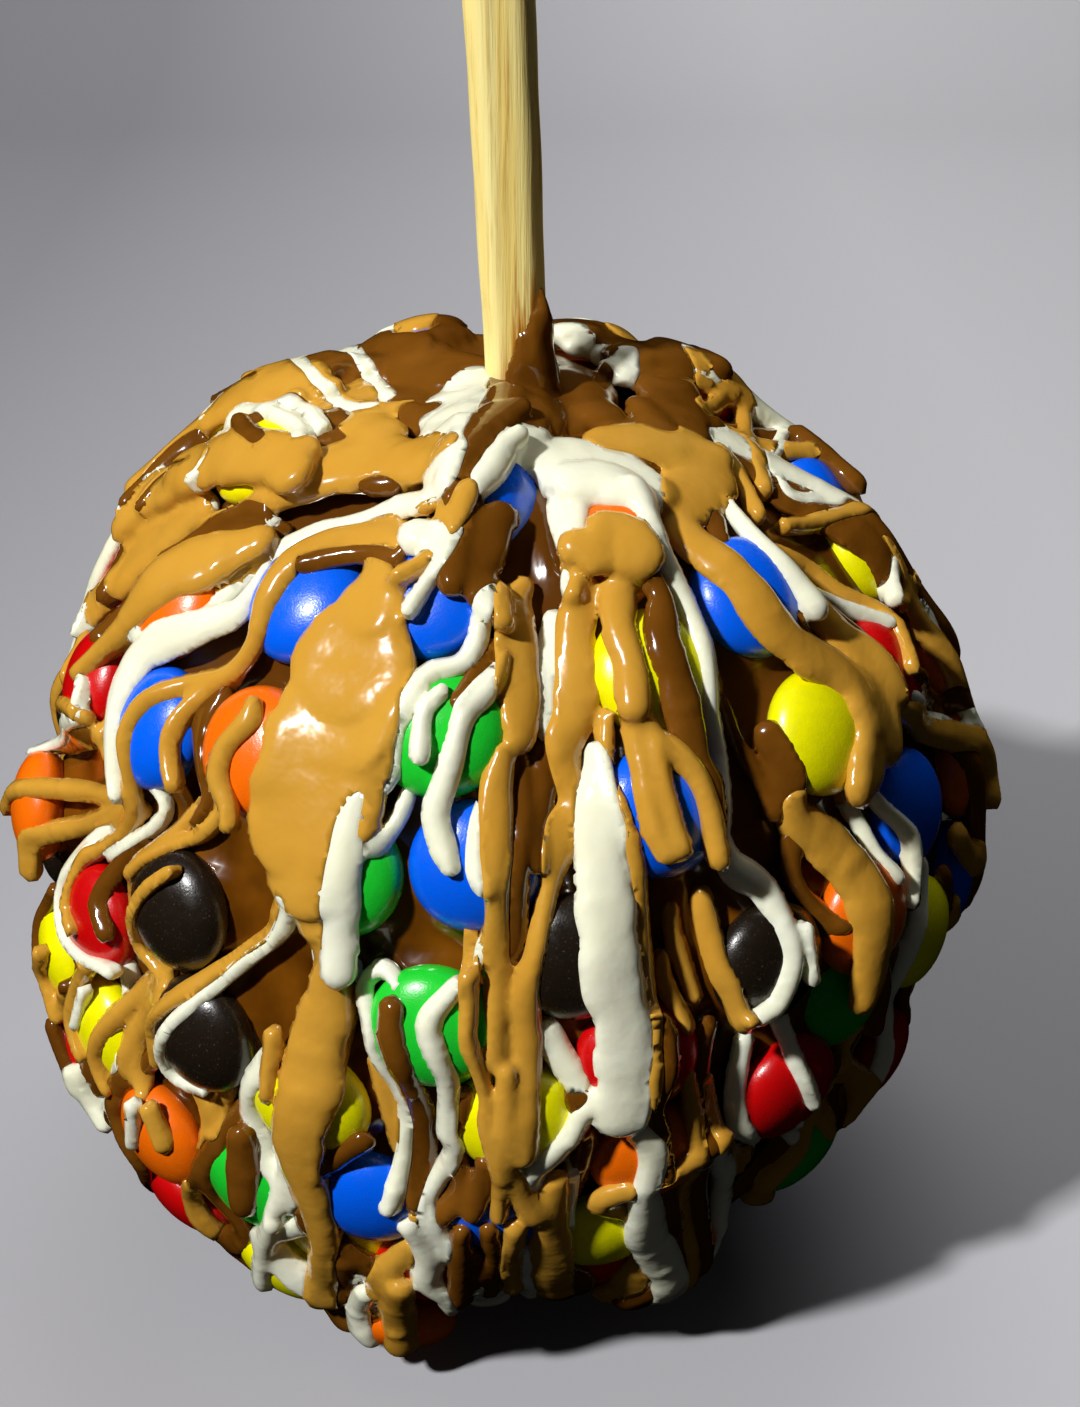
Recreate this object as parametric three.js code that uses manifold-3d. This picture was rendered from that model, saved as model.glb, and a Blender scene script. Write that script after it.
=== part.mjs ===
// Caramel apple on a stick, rolled in candy lentils and drizzled in three sauces.
// Millimetres, +Z up. Origin at the centre of the flat foot the apple stands on.
// Places on the apple are given as azimuth (0 = front, -Y; + turns towards +X)
// and latitude about a heart point inside it, both in degrees.
import * as THREE from "three";
import { mergeVertices } from "three/addons/utils/BufferGeometryUtils.js";
import Module from "manifold-3d";

const wasm = await Module();
wasm.setup();

// coated apple
const heartHeight = 44;
const sideRadius = 47.2;
const crownRadius = 53.4;
const crownDip = 1.2;
const lobeCount = 5;
const lobeDepth = 0.6;
const lobePhase = 20;
const topShift = 2.5;
const bulges = [
  { az: -48, lat: -28, wide: 38, high: 17, rise: 2.6 },
  { az: 82, lat: 14, wide: 34, high: 26, rise: 1.6 },
  { az: -84, lat: 10, wide: 20, high: 18, rise: 2.2 },
  { az: -14, lat: -40, wide: 15, high: 11, rise: 3.4 },
  { az: 25, lat: -36, wide: 13, high: 12, rise: 2.6 },
];

// stick
const stickLength = 140;
const stickFoot = 48;
const stickHalfLow = 3.2;
const stickHalfHigh = 3.4;
const stickTipHalf = 1.6;
const stickTaper = 16;
const stickSwell = [57, 87];
const stickChamfer = 0.6;
const stickCorner = 1.12;
const stickLean = 2.2;
const stickFootX = 6.2;

// candy lentils
const lentilRadius = 6.2;
const lentilHalf = 3.3;
const lentilSeat = 1.6;
const lentilShoulder = { height: 0.7, width: 0.73 };
const lentilRoom = 0.35;

// sauce strands
const strandStep = 7;
const fineness = 4;
const strandLip = 0.6;
const strandThin = 0.9;
const strandShoulder = 0.62;
const strandCore = 0.4;
const strandNose = 0.7;

// fits
const fitGap = 0.3;
const crestMargin = { side: 1.0, top: 0.2 };

const rad = Math.PI / 180;

function ramp(x, a, b) {
  const t = Math.min(Math.max((x - a) / (b - a), 0), 1);
  return t * t * (3 - 2 * t);
}

// radius of the coat about the heart
function coatRadius(az, lat) {
  let r = sideRadius + (crownRadius - sideRadius) * ramp(lat, 5, 80);
  r -= crownDip * ramp(lat, 80, 90);
  const lobe = ramp(Math.abs(lat), 20, 60) * (1 - ramp(lat, 75, 88));
  r += lobeDepth * Math.cos((lobeCount * az + lobePhase) * rad) * lobe;
  for (const b of bulges) {
    const turn = ((az - b.az + 540) % 360) - 180;
    r += b.rise * Math.exp(-((turn / b.wide) ** 2) - ((lat - b.lat) / b.high) ** 2);
  }
  if (lat < -20) {
    r = Math.min(r, heartHeight / Math.sin(-lat * rad));
  }
  return r;
}

function coatPoint(az, lat, lift = 0) {
  const r = coatRadius(az, lat) + lift;
  const p = new THREE.Vector3(
    Math.cos(lat * rad) * Math.sin(az * rad),
    -Math.cos(lat * rad) * Math.cos(az * rad),
    Math.sin(lat * rad),
  ).multiplyScalar(r);
  p.z += heartHeight;
  p.x += topShift * ramp(p.z, 0, 60);
  return p;
}

function coatNormal(az, lat) {
  const l = Math.max(Math.min(lat, 88), -60);
  const east = coatPoint(az + 1, l).sub(coatPoint(az - 1, l));
  const north = coatPoint(az, l + 1).sub(coatPoint(az, l - 1));
  return east.cross(north).normalize();
}

// solids in and out of the boolean kernel
function solidOf(geometry) {
  const g = geometry.clone();
  g.deleteAttribute("normal");
  g.deleteAttribute("uv");
  const m = mergeVertices(g, 1e-4);
  const mesh = new wasm.Mesh({
    numProp: 3,
    vertProperties: new Float32Array(m.attributes.position.array),
    triVerts: new Uint32Array(m.index.array),
  });
  return new wasm.Manifold(mesh);
}

function geometryOf(solid) {
  const mesh = solid.getMesh();
  const g = new THREE.BufferGeometry();
  g.setAttribute("position", new THREE.BufferAttribute(Float32Array.from(mesh.vertProperties), 3));
  g.setIndex(new THREE.BufferAttribute(Uint32Array.from(mesh.triVerts), 1));
  return g;
}

function largest(solid) {
  const parts = solid.decompose();
  parts.sort((a, b) => b.volume() - a.volume());
  return parts[0];
}

// closed skin through equal rings of points, with a point at each end
function skin(rings, first, last) {
  const n = rings[0].length;
  const pos = [];
  for (const ring of rings) {
    for (const p of ring) {
      pos.push(p.x, p.y, p.z);
    }
  }
  const firstId = rings.length * n;
  pos.push(first.x, first.y, first.z, last.x, last.y, last.z);
  const idx = [];
  for (let i = 0; i < n; i += 1) {
    const j = (i + 1) % n;
    idx.push(firstId, j, i);
    for (let k = 0; k + 1 < rings.length; k += 1) {
      const a = k * n;
      const b = a + n;
      idx.push(a + i, a + j, b + j);
      idx.push(a + i, b + j, b + i);
    }
    const e = (rings.length - 1) * n;
    idx.push(firstId + 1, e + i, e + j);
  }
  const g = new THREE.BufferGeometry();
  g.setAttribute("position", new THREE.Float32BufferAttribute(pos, 3));
  g.setIndex(idx);
  return g;
}

// coat: latitude rings round the heart, closed by a flat foot at z = 0
function coatGeometry(grow) {
  const around = 20;
  const footLat = -Math.asin(heartHeight / sideRadius) / rad;
  const lats = [footLat - 0.6, -56, -42, -27, -12, 4, 20, 36, 52, 67, 79, 86];
  const rings = lats.map((lat) => {
    const ring = [];
    for (let i = 0; i < around; i += 1) {
      const p = coatPoint((i * 360) / around, lat, grow);
      if (lat < footLat) {
        p.z = -grow;
      }
      ring.push(p);
    }
    return ring;
  });
  return skin(rings, new THREE.Vector3(0, 0, -grow), coatPoint(0, 90, grow));
}

// lentil: squashed ball, flat faces along its own z
function lentilGeometry(place, around, grow) {
  const a = lentilRadius + grow;
  const b = lentilHalf + grow;
  const rings = [-lentilShoulder.height, 0, lentilShoulder.height].map((h) => {
    const ring = [];
    const r = a * (h === 0 ? 1 : lentilShoulder.width);
    for (let i = 0; i < around; i += 1) {
      const t = ((i + 0.5) * 2 * Math.PI) / around;
      ring.push(new THREE.Vector3(r * Math.cos(t), r * Math.sin(t), h * b));
    }
    return ring;
  });
  const g = skin(rings, new THREE.Vector3(0, 0, -b), new THREE.Vector3(0, 0, b));
  const q = new THREE.Quaternion().setFromUnitVectors(new THREE.Vector3(0, 0, 1), place.normal);
  g.applyQuaternion(q);
  g.translate(place.centre.x, place.centre.y, place.centre.z);
  return g;
}

// candies that stand free, by colour: azimuth, latitude, extra lift, tilt to the east
const scatter = {
  yellow: [
    [-108, 60, 1.4], [-81, 64, 0], [86, 45, 0], [62, 3, 0], [22, 49, 0], [-71, -6, 0.6], [-54, -8, 0.6],
    [-24, -1, 0], [1, -2, 0], [-31, -34, 1.6], [14, -22, 0], [46, 36, 0.6],
  ],
  blue: [
    [-98, 50, 1], [102, 49, 0.8], [-36, 54, 0], [-11, 57, 0], [2, 66, -0.4, 40], [46, 52, 0], [59, 21, 0],
    [75, 4, 0.8], [20, 36, 0], [-3, 31, 0], [-16, -15, 0], [-2, -14, 0], [-54, 36, 0],
  ],
  orange: [
    [-62, 46, 0], [17, 61, -0.4, -40], [86, 27, 0.8], [80, 15, 1.4], [46, 14, 0.6], [-43, -16, 0.8],
    [17, -7, 0], [26, -35, 0.6], [-80, 11, 1.6], [-34, 38, 0.4], [-14, -42, 2],
  ],
  green: [[-20, 28, 0], [-8, 12, 0.4], [-31, -17, 0], [47, -26, 0.8], [-8, 43, 0.4]],
  red: [
    [124, 62, 0.4], [66, 36, 0], [-58, 8, 0.2], [14, 6, 0], [35, -5, 0.4], [60, -17, 0.8], [-44, -30, 1],
    [-8, -27, 0], [-74, 32, 0.4], [-68, -19, 1.4],
  ],
  cocoa: [[32, 14, 0.2], [8, 19, 0], [-41, 16, 0.4], [-35, 4, 0.6]],
};

// rows of lentils set into the coat round the back: latitude, first and last azimuth, how many
const backRows = [
  [74, 212, 212, 1], [66, 155, 155, 1], [52, 128, 236, 4], [35, 107, 266, 8], [18, 99, 262, 9],
  [0, 95, 269, 9], [-17, 79, 272, 10], [-36, 66, 292, 9],
];

function wobble(k) {
  const s = Math.sin(k * 12.9898) * 43758.5453;
  return (s - Math.floor(s)) * 2 - 1;
}

function lentilAt(az, lat, lift, tiltEast = 0) {
  const normal = coatNormal(az, lat);
  const centre = coatPoint(az, lat).addScaledVector(normal, lentilSeat + lift);
  const east = new THREE.Vector3(Math.cos(az * rad), Math.sin(az * rad), 0);
  const north = normal.clone().cross(east).normalize();
  normal.applyAxisAngle(north, tiltEast * rad);
  return { az, lat, lift, tiltEast, centre, normal };
}

const back = [];
backRows.forEach(([lat, from, to, count], row) => {
  for (let i = 0; i < count; i += 1) {
    const t = count > 1 ? i / (count - 1) : 0;
    const k = row * 20 + i + 1;
    const step = count > 1 ? (to - from) / (count - 1) : 0;
    const az = from + (to - from) * t + step * 0.07 * wobble(k);
    back.push(lentilAt(az, lat + 0.9 * wobble(k + 0.5), 0.25 * wobble(k + 0.25)));
  }
});

// reach of a lentil from its centre along a direction
function reach(candy, dir) {
  const c = candy.normal.dot(dir);
  return Math.sqrt(lentilRadius ** 2 * (1 - c * c) + lentilHalf ** 2 * c * c);
}

// slide crowded candies apart over the coat until none touch
function settle(list, fixed) {
  const patience = 400;
  const ease = 0.6;
  const touch = 0.02;
  const all = [...list, ...fixed];
  for (let pass = 0; pass < patience; pass += 1) {
    let worst = 0;
    const push = list.map(() => [0, 0]);
    for (let i = 0; i < list.length; i += 1) {
      for (let j = i + 1; j < all.length; j += 1) {
        const a = list[i];
        const b = all[j];
        const d = b.centre.clone().sub(a.centre);
        const dist = d.length();
        if (dist > 2 * lentilRadius + lentilRoom) {
          continue;
        }
        d.normalize();
        const lack = reach(a, d) + reach(b, d) + lentilRoom - dist;
        if (lack <= 0) {
          continue;
        }
        worst = Math.max(worst, lack);
        const shares = j < list.length ? [0.5, 0.5] : [1, 0];
        [a, b].forEach((c, side) => {
          if (shares[side] === 0) {
            return;
          }
          const sign = side === 0 ? -1 : 1;
          const east = new THREE.Vector3(Math.cos(c.az * rad), Math.sin(c.az * rad), 0);
          const north = coatNormal(c.az, c.lat).cross(east).normalize();
          const r = coatRadius(c.az, c.lat) + lentilSeat;
          const slide = sign * lack * shares[side];
          const k = side === 0 ? i : j;
          push[k][0] += (slide * d.dot(east)) / (r * Math.cos(c.lat * rad)) / rad;
          push[k][1] += (slide * d.dot(north)) / r / rad;
        });
      }
    }
    if (worst < touch) {
      break;
    }
    list = list.map((c, i) => (
      lentilAt(c.az + ease * push[i][0], c.lat + ease * push[i][1], c.lift, c.tiltEast)
    ));
    for (let i = 0; i < list.length; i += 1) {
      all[i] = list[i];
    }
  }
  return list;
}

const free = [];
for (const [colour, rows] of Object.entries(scatter)) {
  rows.forEach(([az, lat, lift, tiltEast], i) => {
    const name = `candy_${colour}_${String(i + 1).padStart(2, "0")}`;
    free.push({ colour, name, place: lentilAt(az, lat, lift, tiltEast) });
  });
}
const settled = settle(free.map((f) => f.place), back);
free.forEach((f, i) => {
  f.place = settled[i];
});

// stick: squared bar with worn corners, tapering to a blunt foot inside the apple
function stickGeometry(grow) {
  const around = 12;
  const stops = [
    [0, stickTipHalf],
    [stickTaper * 0.4, stickHalfLow * 0.86],
    [stickTaper, stickHalfLow],
    [stickSwell[0], stickHalfLow],
    [stickSwell[1], stickHalfHigh],
    [stickLength - stickChamfer, stickHalfHigh],
    [stickLength, stickHalfHigh - stickChamfer],
  ];
  const lean = Math.tan(stickLean * rad);
  const rings = stops.map(([up, half], k) => {
    const ring = [];
    const z = stickFoot + up + (k === 0 ? -grow : 0);
    for (let i = 0; i < around; i += 1) {
      const t = ((i + 0.5) * 2 * Math.PI) / around;
      const c = Math.cos(t);
      const s = Math.sin(t);
      const squircle = 1 / (Math.abs(c) ** 4 + Math.abs(s) ** 4) ** 0.25;
      const r = (half + grow) * Math.min(squircle, stickCorner);
      ring.push(new THREE.Vector3(stickFootX - up * lean + r * c, r * s, z));
    }
    return ring;
  });
  const foot = new THREE.Vector3(stickFootX, 0, stickFoot - grow);
  const head = new THREE.Vector3(stickFootX - stickLength * lean, 0, stickFoot + stickLength);
  return skin(rings, foot, head);
}

// how far the candies stand out beyond a point of the coat, looking from the heart
const lumps = [...free.map((f) => f.place), ...back];
function crest(p) {
  const n = p.clone().sub(new THREE.Vector3(0, 0, heartHeight)).normalize();
  const a = lentilRadius + crestMargin.side;
  const b = lentilHalf + crestMargin.top;
  let top = 0;
  for (const c of lumps) {
    const toP = p.clone().sub(c.centre);
    if (toP.length() > 2 * lentilRadius) {
      continue;
    }
    const scaleTo = (v) => {
      const along = v.dot(c.normal);
      const flat = v.clone().addScaledVector(c.normal, -along);
      return flat.multiplyScalar(1 / a).addScaledVector(c.normal, along / b);
    };
    const o = scaleTo(toP);
    const d = scaleTo(n);
    const qa = d.dot(d);
    const qb = o.dot(d);
    const disc = qb * qb - qa * (o.dot(o) - 1);
    if (disc > 0) {
      top = Math.max(top, (-qb + Math.sqrt(disc)) / qa);
    }
  }
  return top;
}

// finely spaced stops [azimuth, latitude, half width] along a route
function runOf(route) {
  const curve = new THREE.CatmullRomCurve3(route.map(([a, l, w]) => new THREE.Vector3(a, l, w)));
  let length = 0;
  for (let i = 1; i < route.length; i += 1) {
    const here = coatPoint(route[i][0], route[i][1]);
    length += here.distanceTo(coatPoint(route[i - 1][0], route[i - 1][1]));
  }
  const count = Math.max(4, Math.ceil(length / strandStep)) * fineness;
  return curve.getSpacedPoints(count).map((v) => ({ az: v.x, lat: v.y, half: v.z, at: coatPoint(v.x, v.y) }));
}

// height of the candies under a stop of a strand
function candyUnder(stop) {
  const across = [-0.9, 0, 0.9].map((k) => stop.at.clone().addScaledVector(stop.side, k * stop.half));
  return Math.max(...across.map(crest));
}

// height of the lower sauces under the middle of a strand; those that only
// touch its edge are left to cut into it
function sauceUnder(stop, laid) {
  let top = 0;
  for (const o of laid.flat()) {
    if (o.at.distanceTo(stop.at) < strandShoulder * o.half + strandCore * stop.half + fitGap) {
      top = Math.max(top, o.top + fitGap);
    }
  }
  return top;
}

// the two rings of a bead on either side of a stop, and how far it is between them
function ringsRound(run, index) {
  const before = index - (index % fineness);
  const after = Math.min(before + fineness, run.length - 1);
  return [run[before], run[after], (index % fineness) / fineness];
}

// raises the rings until the bead between them clears every stop of the run
function clearBumps(run) {
  for (let pass = 0; pass < 2 * fineness; pass += 1) {
    run.forEach((stop, i) => {
      const [a, b, t] = ringsRound(run, i);
      const lack = stop.clear - a.top * (1 - t) - b.top * t;
      if (lack > 0 && t > 0) {
        a.top += t <= 0.5 ? lack : 0;
        b.top += t >= 0.5 ? lack : 0;
      }
    });
  }
  run.forEach((stop, i) => {
    const [a, b, t] = ringsRound(run, i);
    stop.top = a.top * (1 - t) + b.top * t;
  });
}

// lays a strand over what is already there and remembers how high it stands; a
// strand that runs out of an arc is as deep as the arc where the two cross
function layStrand(route, height, laid, arc = []) {
  const run = runOf(route);
  run.forEach((stop, i) => {
    const along = run[Math.min(i + 1, run.length - 1)].at.clone().sub(run[Math.max(i - 1, 0)].at);
    stop.up = coatNormal(stop.az, stop.lat);
    stop.side = along.normalize().cross(stop.up).normalize();
    stop.bump = candyUnder(stop);
    stop.clear = Math.max(stop.bump, sauceUnder(stop, laid)) + strandLip;
    stop.top = Math.max(stop.clear, stop.bump + height);
  });
  clearBumps(run);
  run.forEach((stop, i) => {
    const near = run.slice(Math.max(i - fineness / 2, 0), i + fineness / 2 + 1);
    const bed = Math.max(...near.map((s) => s.clear)) - strandLip;
    stop.low = Math.min(bed + fitGap, stop.top - strandThin);
    for (const o of arc) {
      if (o.at.distanceTo(stop.at) < o.half + 1) {
        stop.low = Math.min(stop.low, o.low);
        stop.top = Math.max(stop.top, o.top);
      }
    }
  });
  return run;
}

// closed bead along a laid run: a flat top with sloping sides, blunt at both ends
function strandGeometry(run, grow) {
  const stops = run.filter((stop, i) => i % fineness === 0);
  const rings = stops.map((stop) => {
    const w = stop.half + grow;
    const foot = stop.low - grow;
    const head = stop.top + grow;
    const top = strandShoulder * w;
    return [[-w, foot], [-top, head], [top, head], [w, foot]].map(([x, y]) => (
      stop.at.clone().addScaledVector(stop.side, x).addScaledVector(stop.up, y)
    ));
  });
  const endOf = (i, k) => {
    const out = stops[i].at.clone().sub(stops[k].at).normalize();
    const middle = stops[i].at.clone().addScaledVector(stops[i].up, (stops[i].low + stops[i].top) / 2);
    return middle.addScaledVector(out, strandNose + grow);
  };
  const last = stops.length - 1;
  return skin(rings, endOf(0, 1), endOf(last, last - 1));
}

// arc of sauce round the crown that its strands run down from
function crownArc(lat, from, to, half) {
  const route = [];
  const count = Math.max(4, Math.round((to - from) / 24));
  for (let i = 0; i <= count; i += 1) {
    route.push([from + ((to - from) * i) / count, lat, half]);
  }
  return route;
}

// a run of sauce down the back, swaying a little from side to side
function backRun(az, startLat, endLat, half, sway) {
  const route = [];
  for (let i = 0; i <= 6; i += 1) {
    const t = i / 6;
    route.push([az + sway * Math.sin(t * 7 + az), startLat + (endLat - startLat) * t, half]);
  }
  return route;
}

const sauces = {
  brown: {
    height: 1.2,
    colour: 0x4a2410,
    arc: crownArc(84.5, -160, 205, 1.7),
    routes: [
      [[36, 51, 1.6], [29, 50, 1.9], [26, 42, 2], [27, 34, 1.7], [25, 22, 1.6]],
      [[-60, 84, 2.2], [-78, 62, 2], [-80, 45, 2.2], [-78, 30, 1.8], [-66, 12, 1.6], [-60, -4, 1.3]],
      [[50, 84, 2.2], [36, 55, 1.4], [34, 38, 1.6], [36, 24, 1.4], [42, 8, 1.4], [36, -14, 1.3]],
      [[-30, 84, 1.8], [-26, 72, 1.5], [-17, 64, 1.4], [-4, 59, 1.4], [1, 50, 1.4], [2, 44, 1.4],
        [3, 24, 1.4], [2, 4, 1.3], [-6, -22, 1.3]],
      [[-40, 84, 2], [-46, 62, 1.6], [-42, 40, 1.4], [-45, 22, 1.4], [-46, 2, 1.3], [-38, -26, 1.3]],
      backRun(106, 84, -24, 1.8, 4),
      backRun(156, 84, -34, 2, 5),
    ],
  },
  tan: {
    height: 1.3,
    colour: 0xb98347,
    arc: crownArc(76.5, 44, 318, 1.6),
    routes: [
      [[-45, 76, 4], [-30, 60, 5], [-26, 48, 6.4], [-24, 36, 5.4], [-24, 26, 4], [-21, 14, 1.8],
        [-21, 2, 2.6], [-20, -14, 2.2], [-21, -34, 1.6]],
      [[-60, 76, 3.4], [-58, 60, 3], [-66, 48, 2.6], [-58, 36, 1.5], [-62, 20, 1.3], [-68, 6, 1.3]],
      [[50, 76, 4], [44, 62, 3.2], [44, 52, 2], [50, 42, 2.6], [50, 34, 2.8]],
      [[47, 68, 3], [34, 61, 2.4], [20, 58, 2.6], [14, 48, 2], [10, 34, 1.3], [6, 20, 1.3], [3, 6, 1.5],
        [3, -8, 1.3]],
      [[21, 58, 2.4], [5, 56, 2], [2, 44, 1.8], [-1, 30, 1.2], [-1, 14, 1.2], [-2, -6, 1.3], [2, -30, 1.2]],
      [[20, 59, 2.2], [20, 46, 1.6], [24, 34, 1.1], [24, 22, 1.1], [24, 4, 1.1]],
      [[80, 76, 3], [74, 56, 2], [76, 36, 1.8], [82, 22, 2.2], [72, 8, 1.8], [56, -4, 1.5]],
      backRun(132, 76, -6, 2, 5),
      backRun(182, 76, -30, 2.4, 4),
      backRun(262, 76, -20, 2, 5),
    ],
  },
  white: {
    height: 1.4,
    colour: 0xf0eedb,
    arc: crownArc(80.6, -138, 222, 1.4),
    routes: [
      [[-15, 80, 3], [-18, 70, 2.4], [-30, 64, 1.6], [-50, 60, 1.8], [-60, 50, 1.8], [-62, 38, 1.8],
        [-60, 26, 1.4], [-68, 14, 1.2], [-66, 0, 1.2]],
      [[20, 80, 3], [22, 70, 4.6], [24, 62, 3.4], [30, 50, 1.4], [32, 38, 1.3], [30, 22, 1.4], [34, 12, 1.3]],
      [[10, 80, 2.4], [8, 68, 2.2], [8, 56, 1.8], [9, 38, 1.4], [12, 28, 1.9], [12, 8, 2.2], [16, -8, 1.9],
        [20, -22, 1.8], [27, -38, 1.3]],
      [[-6, 80, 2.2], [-8, 62, 1.6], [-4, 46, 1.4], [-7, 34, 1.4], [-5, 16, 1.2], [-7, -2, 1.1],
        [-8, -22, 1.2]],
      [[60, 80, 2], [56, 60, 1.4], [56, 46, 1.6], [60, 26, 1.1], [52, 12, 1.1]],
      backRun(119, 80, -10, 1.7, 5),
      backRun(168, 80, -24, 1.9, 6),
      backRun(222, 80, 4, 1.7, 5),
    ],
  },
};

const union = (list) => list.reduce((a, b) => a.add(b));

const grownCoat = solidOf(coatGeometry(fitGap));
const backBumps = union(back.map((p) => solidOf(lentilGeometry(p, 6, 0))));
const grownBumps = union(back.map((p) => solidOf(lentilGeometry(p, 6, fitGap))));
const grownCandies = union(free.map((f) => solidOf(lentilGeometry(f.place, 8, fitGap))));
const grownStick = solidOf(stickGeometry(fitGap));

const coat = solidOf(coatGeometry(0)).add(backBumps).subtract(grownCandies).subtract(grownStick);

const caramelApple = new THREE.Group();
caramelApple.name = "caramel_apple";

function addPart(name, geometry, colour, roughness) {
  const material = new THREE.MeshStandardMaterial({ color: colour, roughness, metalness: 0 });
  material.flatShading = true;
  const mesh = new THREE.Mesh(geometry, material);
  mesh.name = name;
  caramelApple.add(mesh);
}

addPart("coated_apple", geometryOf(largest(coat)), 0x5a2c0e, 0.25);
addPart("stick", stickGeometry(0), 0xeed489, 0.7);

const solidsBelow = grownCoat.add(grownBumps).add(grownCandies).add(grownStick);
const laid = [];
let sauceBelow = null;
for (const [name, sauce] of Object.entries(sauces)) {
  const arc = layStrand(sauce.arc, sauce.height, laid);
  const runs = [arc, ...sauce.routes.map((route) => layStrand(route, sauce.height, laid, arc))];
  const build = (grow) => union(runs.map((run) => solidOf(strandGeometry(run, grow))));
  let body = build(0).subtract(solidsBelow);
  if (sauceBelow) {
    body = body.subtract(sauceBelow);
  }
  addPart(`drizzle_${name}`, geometryOf(largest(body)), sauce.colour, 0.2);
  sauceBelow = sauceBelow ? sauceBelow.add(build(fitGap)) : build(fitGap);
  laid.push(...runs);
}

const candyColours = {
  yellow: 0xf6dc10,
  blue: 0x1560dd,
  orange: 0xf26a1a,
  green: 0x2fbf3a,
  red: 0xc01a22,
  cocoa: 0x33201a,
};
for (const { name, colour, place } of free) {
  addPart(name, lentilGeometry(place, 8, 0), candyColours[colour], 0.3);
}

export default caramelApple;
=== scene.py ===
import math
import time

import bpy
import numpy as np
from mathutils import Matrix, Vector


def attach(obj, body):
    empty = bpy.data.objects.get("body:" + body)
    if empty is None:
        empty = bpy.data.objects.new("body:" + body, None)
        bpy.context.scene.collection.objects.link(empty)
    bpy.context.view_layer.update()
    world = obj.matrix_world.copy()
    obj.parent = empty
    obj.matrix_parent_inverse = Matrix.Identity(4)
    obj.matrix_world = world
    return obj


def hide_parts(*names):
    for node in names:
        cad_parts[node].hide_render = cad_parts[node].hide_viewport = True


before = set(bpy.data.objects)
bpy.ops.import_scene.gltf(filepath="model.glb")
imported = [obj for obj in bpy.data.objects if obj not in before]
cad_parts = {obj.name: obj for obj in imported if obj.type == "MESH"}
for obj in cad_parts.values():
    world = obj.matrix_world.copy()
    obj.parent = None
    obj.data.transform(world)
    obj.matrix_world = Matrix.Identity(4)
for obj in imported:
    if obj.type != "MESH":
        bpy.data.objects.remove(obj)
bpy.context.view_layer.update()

started = time.time()
mm = 0.001  # the shape work below is in millimetres, meshes are written in metres

print("caramel apple: camera and studio")

studio = dict(
    cameraPlace=(0.0025, -0.1827, 0.1660),
    pitchDown=29.9,
    turnRight=1.28,
    lens=47.74,
    # painted light: the floor is coloured darker on the left and lighter on the right, for how the
    # light falls across it
    floorShadeLeft=(0.30, 0.295, 0.315),
    floorLightRight=(0.58, 0.575, 0.60),
    keyPlace=(-0.39, -0.33, 0.58),
    keySize=0.045,
    keyPower=6.4,
    backPlace=(0.10, 0.55, 0.60),
    backSize=0.7,
    backPower=3.2,
    backAim=(0.04, 0.50, 0.0),
    worldColour=(0.78, 0.80, 0.86),
    worldPower=0.022,
)


def linked(name, data):
    piece = bpy.data.objects.new(name, data)
    bpy.context.collection.objects.link(piece)
    return piece


def addCamera(look):
    data = bpy.data.cameras.new("camera")
    data.sensor_width = 36
    data.lens = look["lens"]
    data.clip_start = 0.01
    camera = linked("camera", data)
    camera.location = look["cameraPlace"]
    tip = math.radians(90 - look["pitchDown"])
    camera.rotation_euler = (tip, 0, -math.radians(look["turnRight"]))
    bpy.context.scene.camera = camera


def addLight(name, place, size, power, shine=True, aim=(0, 0, 0.05)):
    data = bpy.data.lights.new(name, "AREA")
    data.shape = "SQUARE"
    data.size = size
    data.energy = power
    light = linked(name, data)
    light.location = place
    light.rotation_euler = (Vector(aim) - Vector(place)).to_track_quat("-Z", "Y").to_euler()
    light.visible_glossy = shine


def addWorld(look):
    world = bpy.data.worlds.new("studio")
    world.use_nodes = True
    back = world.node_tree.nodes["Background"]
    back.inputs["Color"].default_value = (*look["worldColour"], 1)
    back.inputs["Strength"].default_value = look["worldPower"]
    world.cycles_visibility.glossy = False
    bpy.context.scene.world = world


addCamera(studio)
addLight("keyLight", studio["keyPlace"], studio["keySize"], studio["keyPower"])
addLight("backLight", studio["backPlace"], studio["backSize"], studio["backPower"],
         shine=False, aim=studio["backAim"])
addWorld(studio)
bpy.context.scene.view_settings.view_transform = "Standard"


# shape of the coated apple, seen from its heart

apple = dict(
    heart=44.0, side=47.2, crown=53.4, dip=1.2,
    lobes=5, lobeDepth=0.6, lobePhase=20, shift=2.5,
    bulges=[
        (-48, -28, 38, 17, 2.6), (82, 14, 34, 26, 1.6), (-84, 10, 20, 18, 2.2),
        (-14, -40, 15, 11, 3.4), (25, -36, 13, 12, 2.6),
    ],
)


def ramp(x, a, b):
    t = np.clip((x - a) / (b - a), 0, 1)
    return t * t * (3 - 2 * t)


def between(a, b, share):
    return a * (1 - share) + b * share


def coatRadius(az, lat):
    r = apple["side"] + (apple["crown"] - apple["side"]) * ramp(lat, 5, 80)
    r = r - apple["dip"] * ramp(lat, 80, 90)
    lobe = ramp(np.abs(lat), 20, 60) * (1 - ramp(lat, 75, 88))
    wave = np.cos(np.radians(apple["lobes"] * az + apple["lobePhase"]))
    r = r + apple["lobeDepth"] * wave * lobe
    for bulgeAz, bulgeLat, wide, high, rise in apple["bulges"]:
        turn = (az - bulgeAz + 540) % 360 - 180
        r = r + rise * np.exp(-(turn / wide) ** 2 - ((lat - bulgeLat) / high) ** 2)
    foot = apple["heart"] / np.sin(np.radians(np.maximum(-lat, 20)))
    return np.where(lat < -20, np.minimum(r, foot), r)


def leanAt(z):
    return apple["shift"] * ramp(z, 0, 60)


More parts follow.
